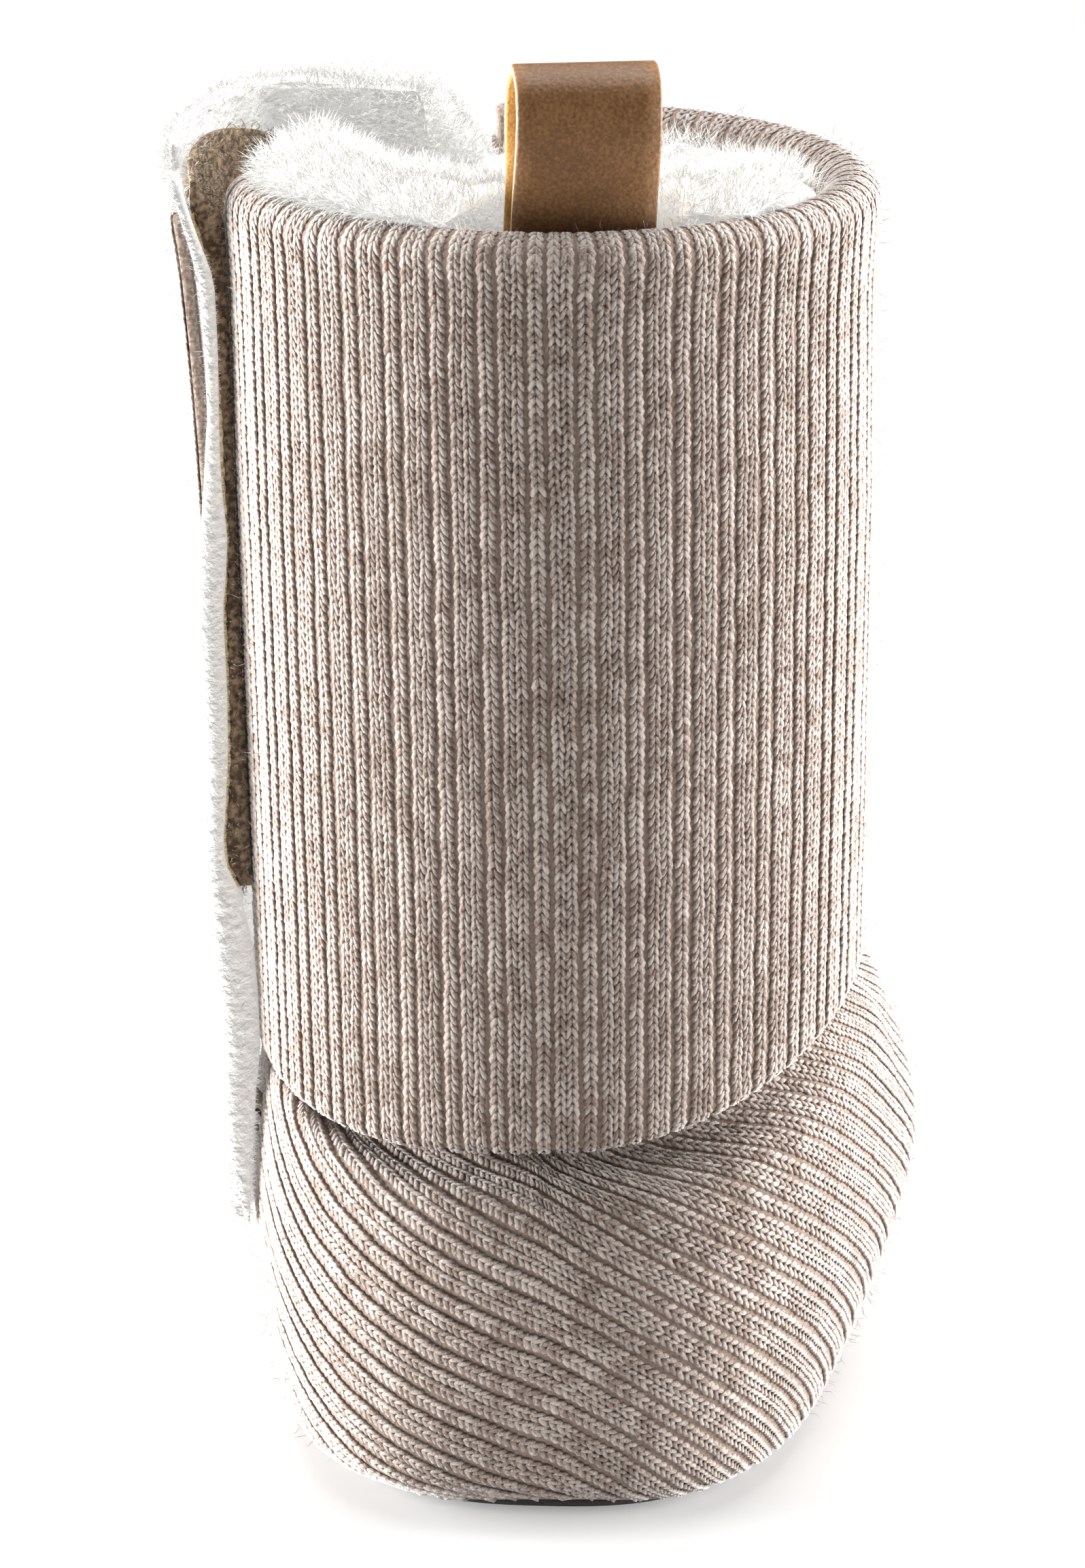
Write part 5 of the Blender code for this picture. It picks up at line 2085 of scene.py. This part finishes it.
def grip_domes():
    """Low domes in a staggered pattern under the sole, reaching the floor."""
    shape = bmesh.new()
    row = 0
    y = FOOT_SECTIONS[0].heel_y + GRIP_MARGIN
    while y < FOOT_SECTIONS[0].toe_y - GRIP_MARGIN:
        x = GRIP_LEFT + (row % 2) * GRIP_PITCH / 2
        while x < GRIP_RIGHT:
            ways = ((1, 0), (-1, 0), (0, 1), (0, -1))
            if all(inside_sole(x + GRIP_MARGIN * a, y + GRIP_MARGIN * b) for a, b in ways):
                add_dome(shape, x, y)
            x += GRIP_PITCH
        y += GRIP_PITCH * math.sqrt(3) / 2
        row += 1
    return closed_piece("grip_domes", shape, rubber_finish)


ready(grip_domes(), "sole_grip")

# %% Insole
INSOLE_LOCKS = 0.003
INSOLE_LOCK_PULL = 0.8
INSOLE_TOP_FACING = 0.3
insole_low = SOLE_THICKNESS + SEAM_GAP
insole_top = insole_low + INSOLE_THICKNESS
insole_levels = (
    (INSOLE_INSET, insole_low),
    (INSOLE_INSET, insole_top - SOLE_EDGE_RADIUS),
    (INSOLE_INSET + 0.3 * SOLE_EDGE_RADIUS, insole_top - 0.3 * SOLE_EDGE_RADIUS),
    (INSOLE_INSET + SOLE_EDGE_RADIUS, insole_top),
)


def insole_rule(point, normal):
    cover = 1.0 if normal.z > INSOLE_TOP_FACING else 0.0
    return normal + locks(point, INSOLE_LOCKS, INSOLE_LOCK_PULL), 1.0, cover


insole = slab("insole_slab", insole_levels, fleece)
growth = Growth(
    "insole_strands", short_strand, per_square_mm=0.35, finish=fleece, seed=71, lean=40
)
furred(insole, "insole_fleece", insole_rule, growth, "insole")

# %% [markdown]
# ## Stray wool
#
# Knitting is never clean. Fine fibres work loose from the yarn and stand a millimetre or two
# off it, which softens every edge against a white ground. They are the thinnest strands
# here, rooted in the ground between the stitches.

# %% Fuzz on the knit
HAIR_LOWEST = 0.0045
HAIR_LOCKS = 0.0015
hair = strand_object(
    "hair", Station(0.0, 0.0, 0.0), Station(0.0016, 0.0002, 0.000032),
    Station(0.0023, 0.0012, 0.0),
)


def hair_rule(point, normal):
    cover = 1.0 if point.z > HAIR_LOWEST else 0.0
    return normal + locks(point, HAIR_LOCKS), 1.0, cover


for place, carrier in enumerate((shaft_carrier, foot_carrier, flap_carrier)):
    outward = np.zeros(len(carrier.data.vertices) * 3, dtype=np.float32)
    carrier.data.attributes["outward"].data.foreach_get("vector", outward)
    normals = [Vector(row) for row in outward.reshape(-1, 3).tolist()]
    comb_surface(carrier.data, hair_rule, normals)
    part = carrier.name.removesuffix("_surface")
    growth = Growth(
        part + "_fuzz", hair, per_square_mm=0.07, finish=yarn, seed=81 + place, lean=40
    )
    ready(plant(carrier.data, growth), part + "_knit")

# %% Remove the helpers
remove(stitch, short_strand, curl, long_strand, hair, shaft_carrier, foot_carrier, flap_carrier)
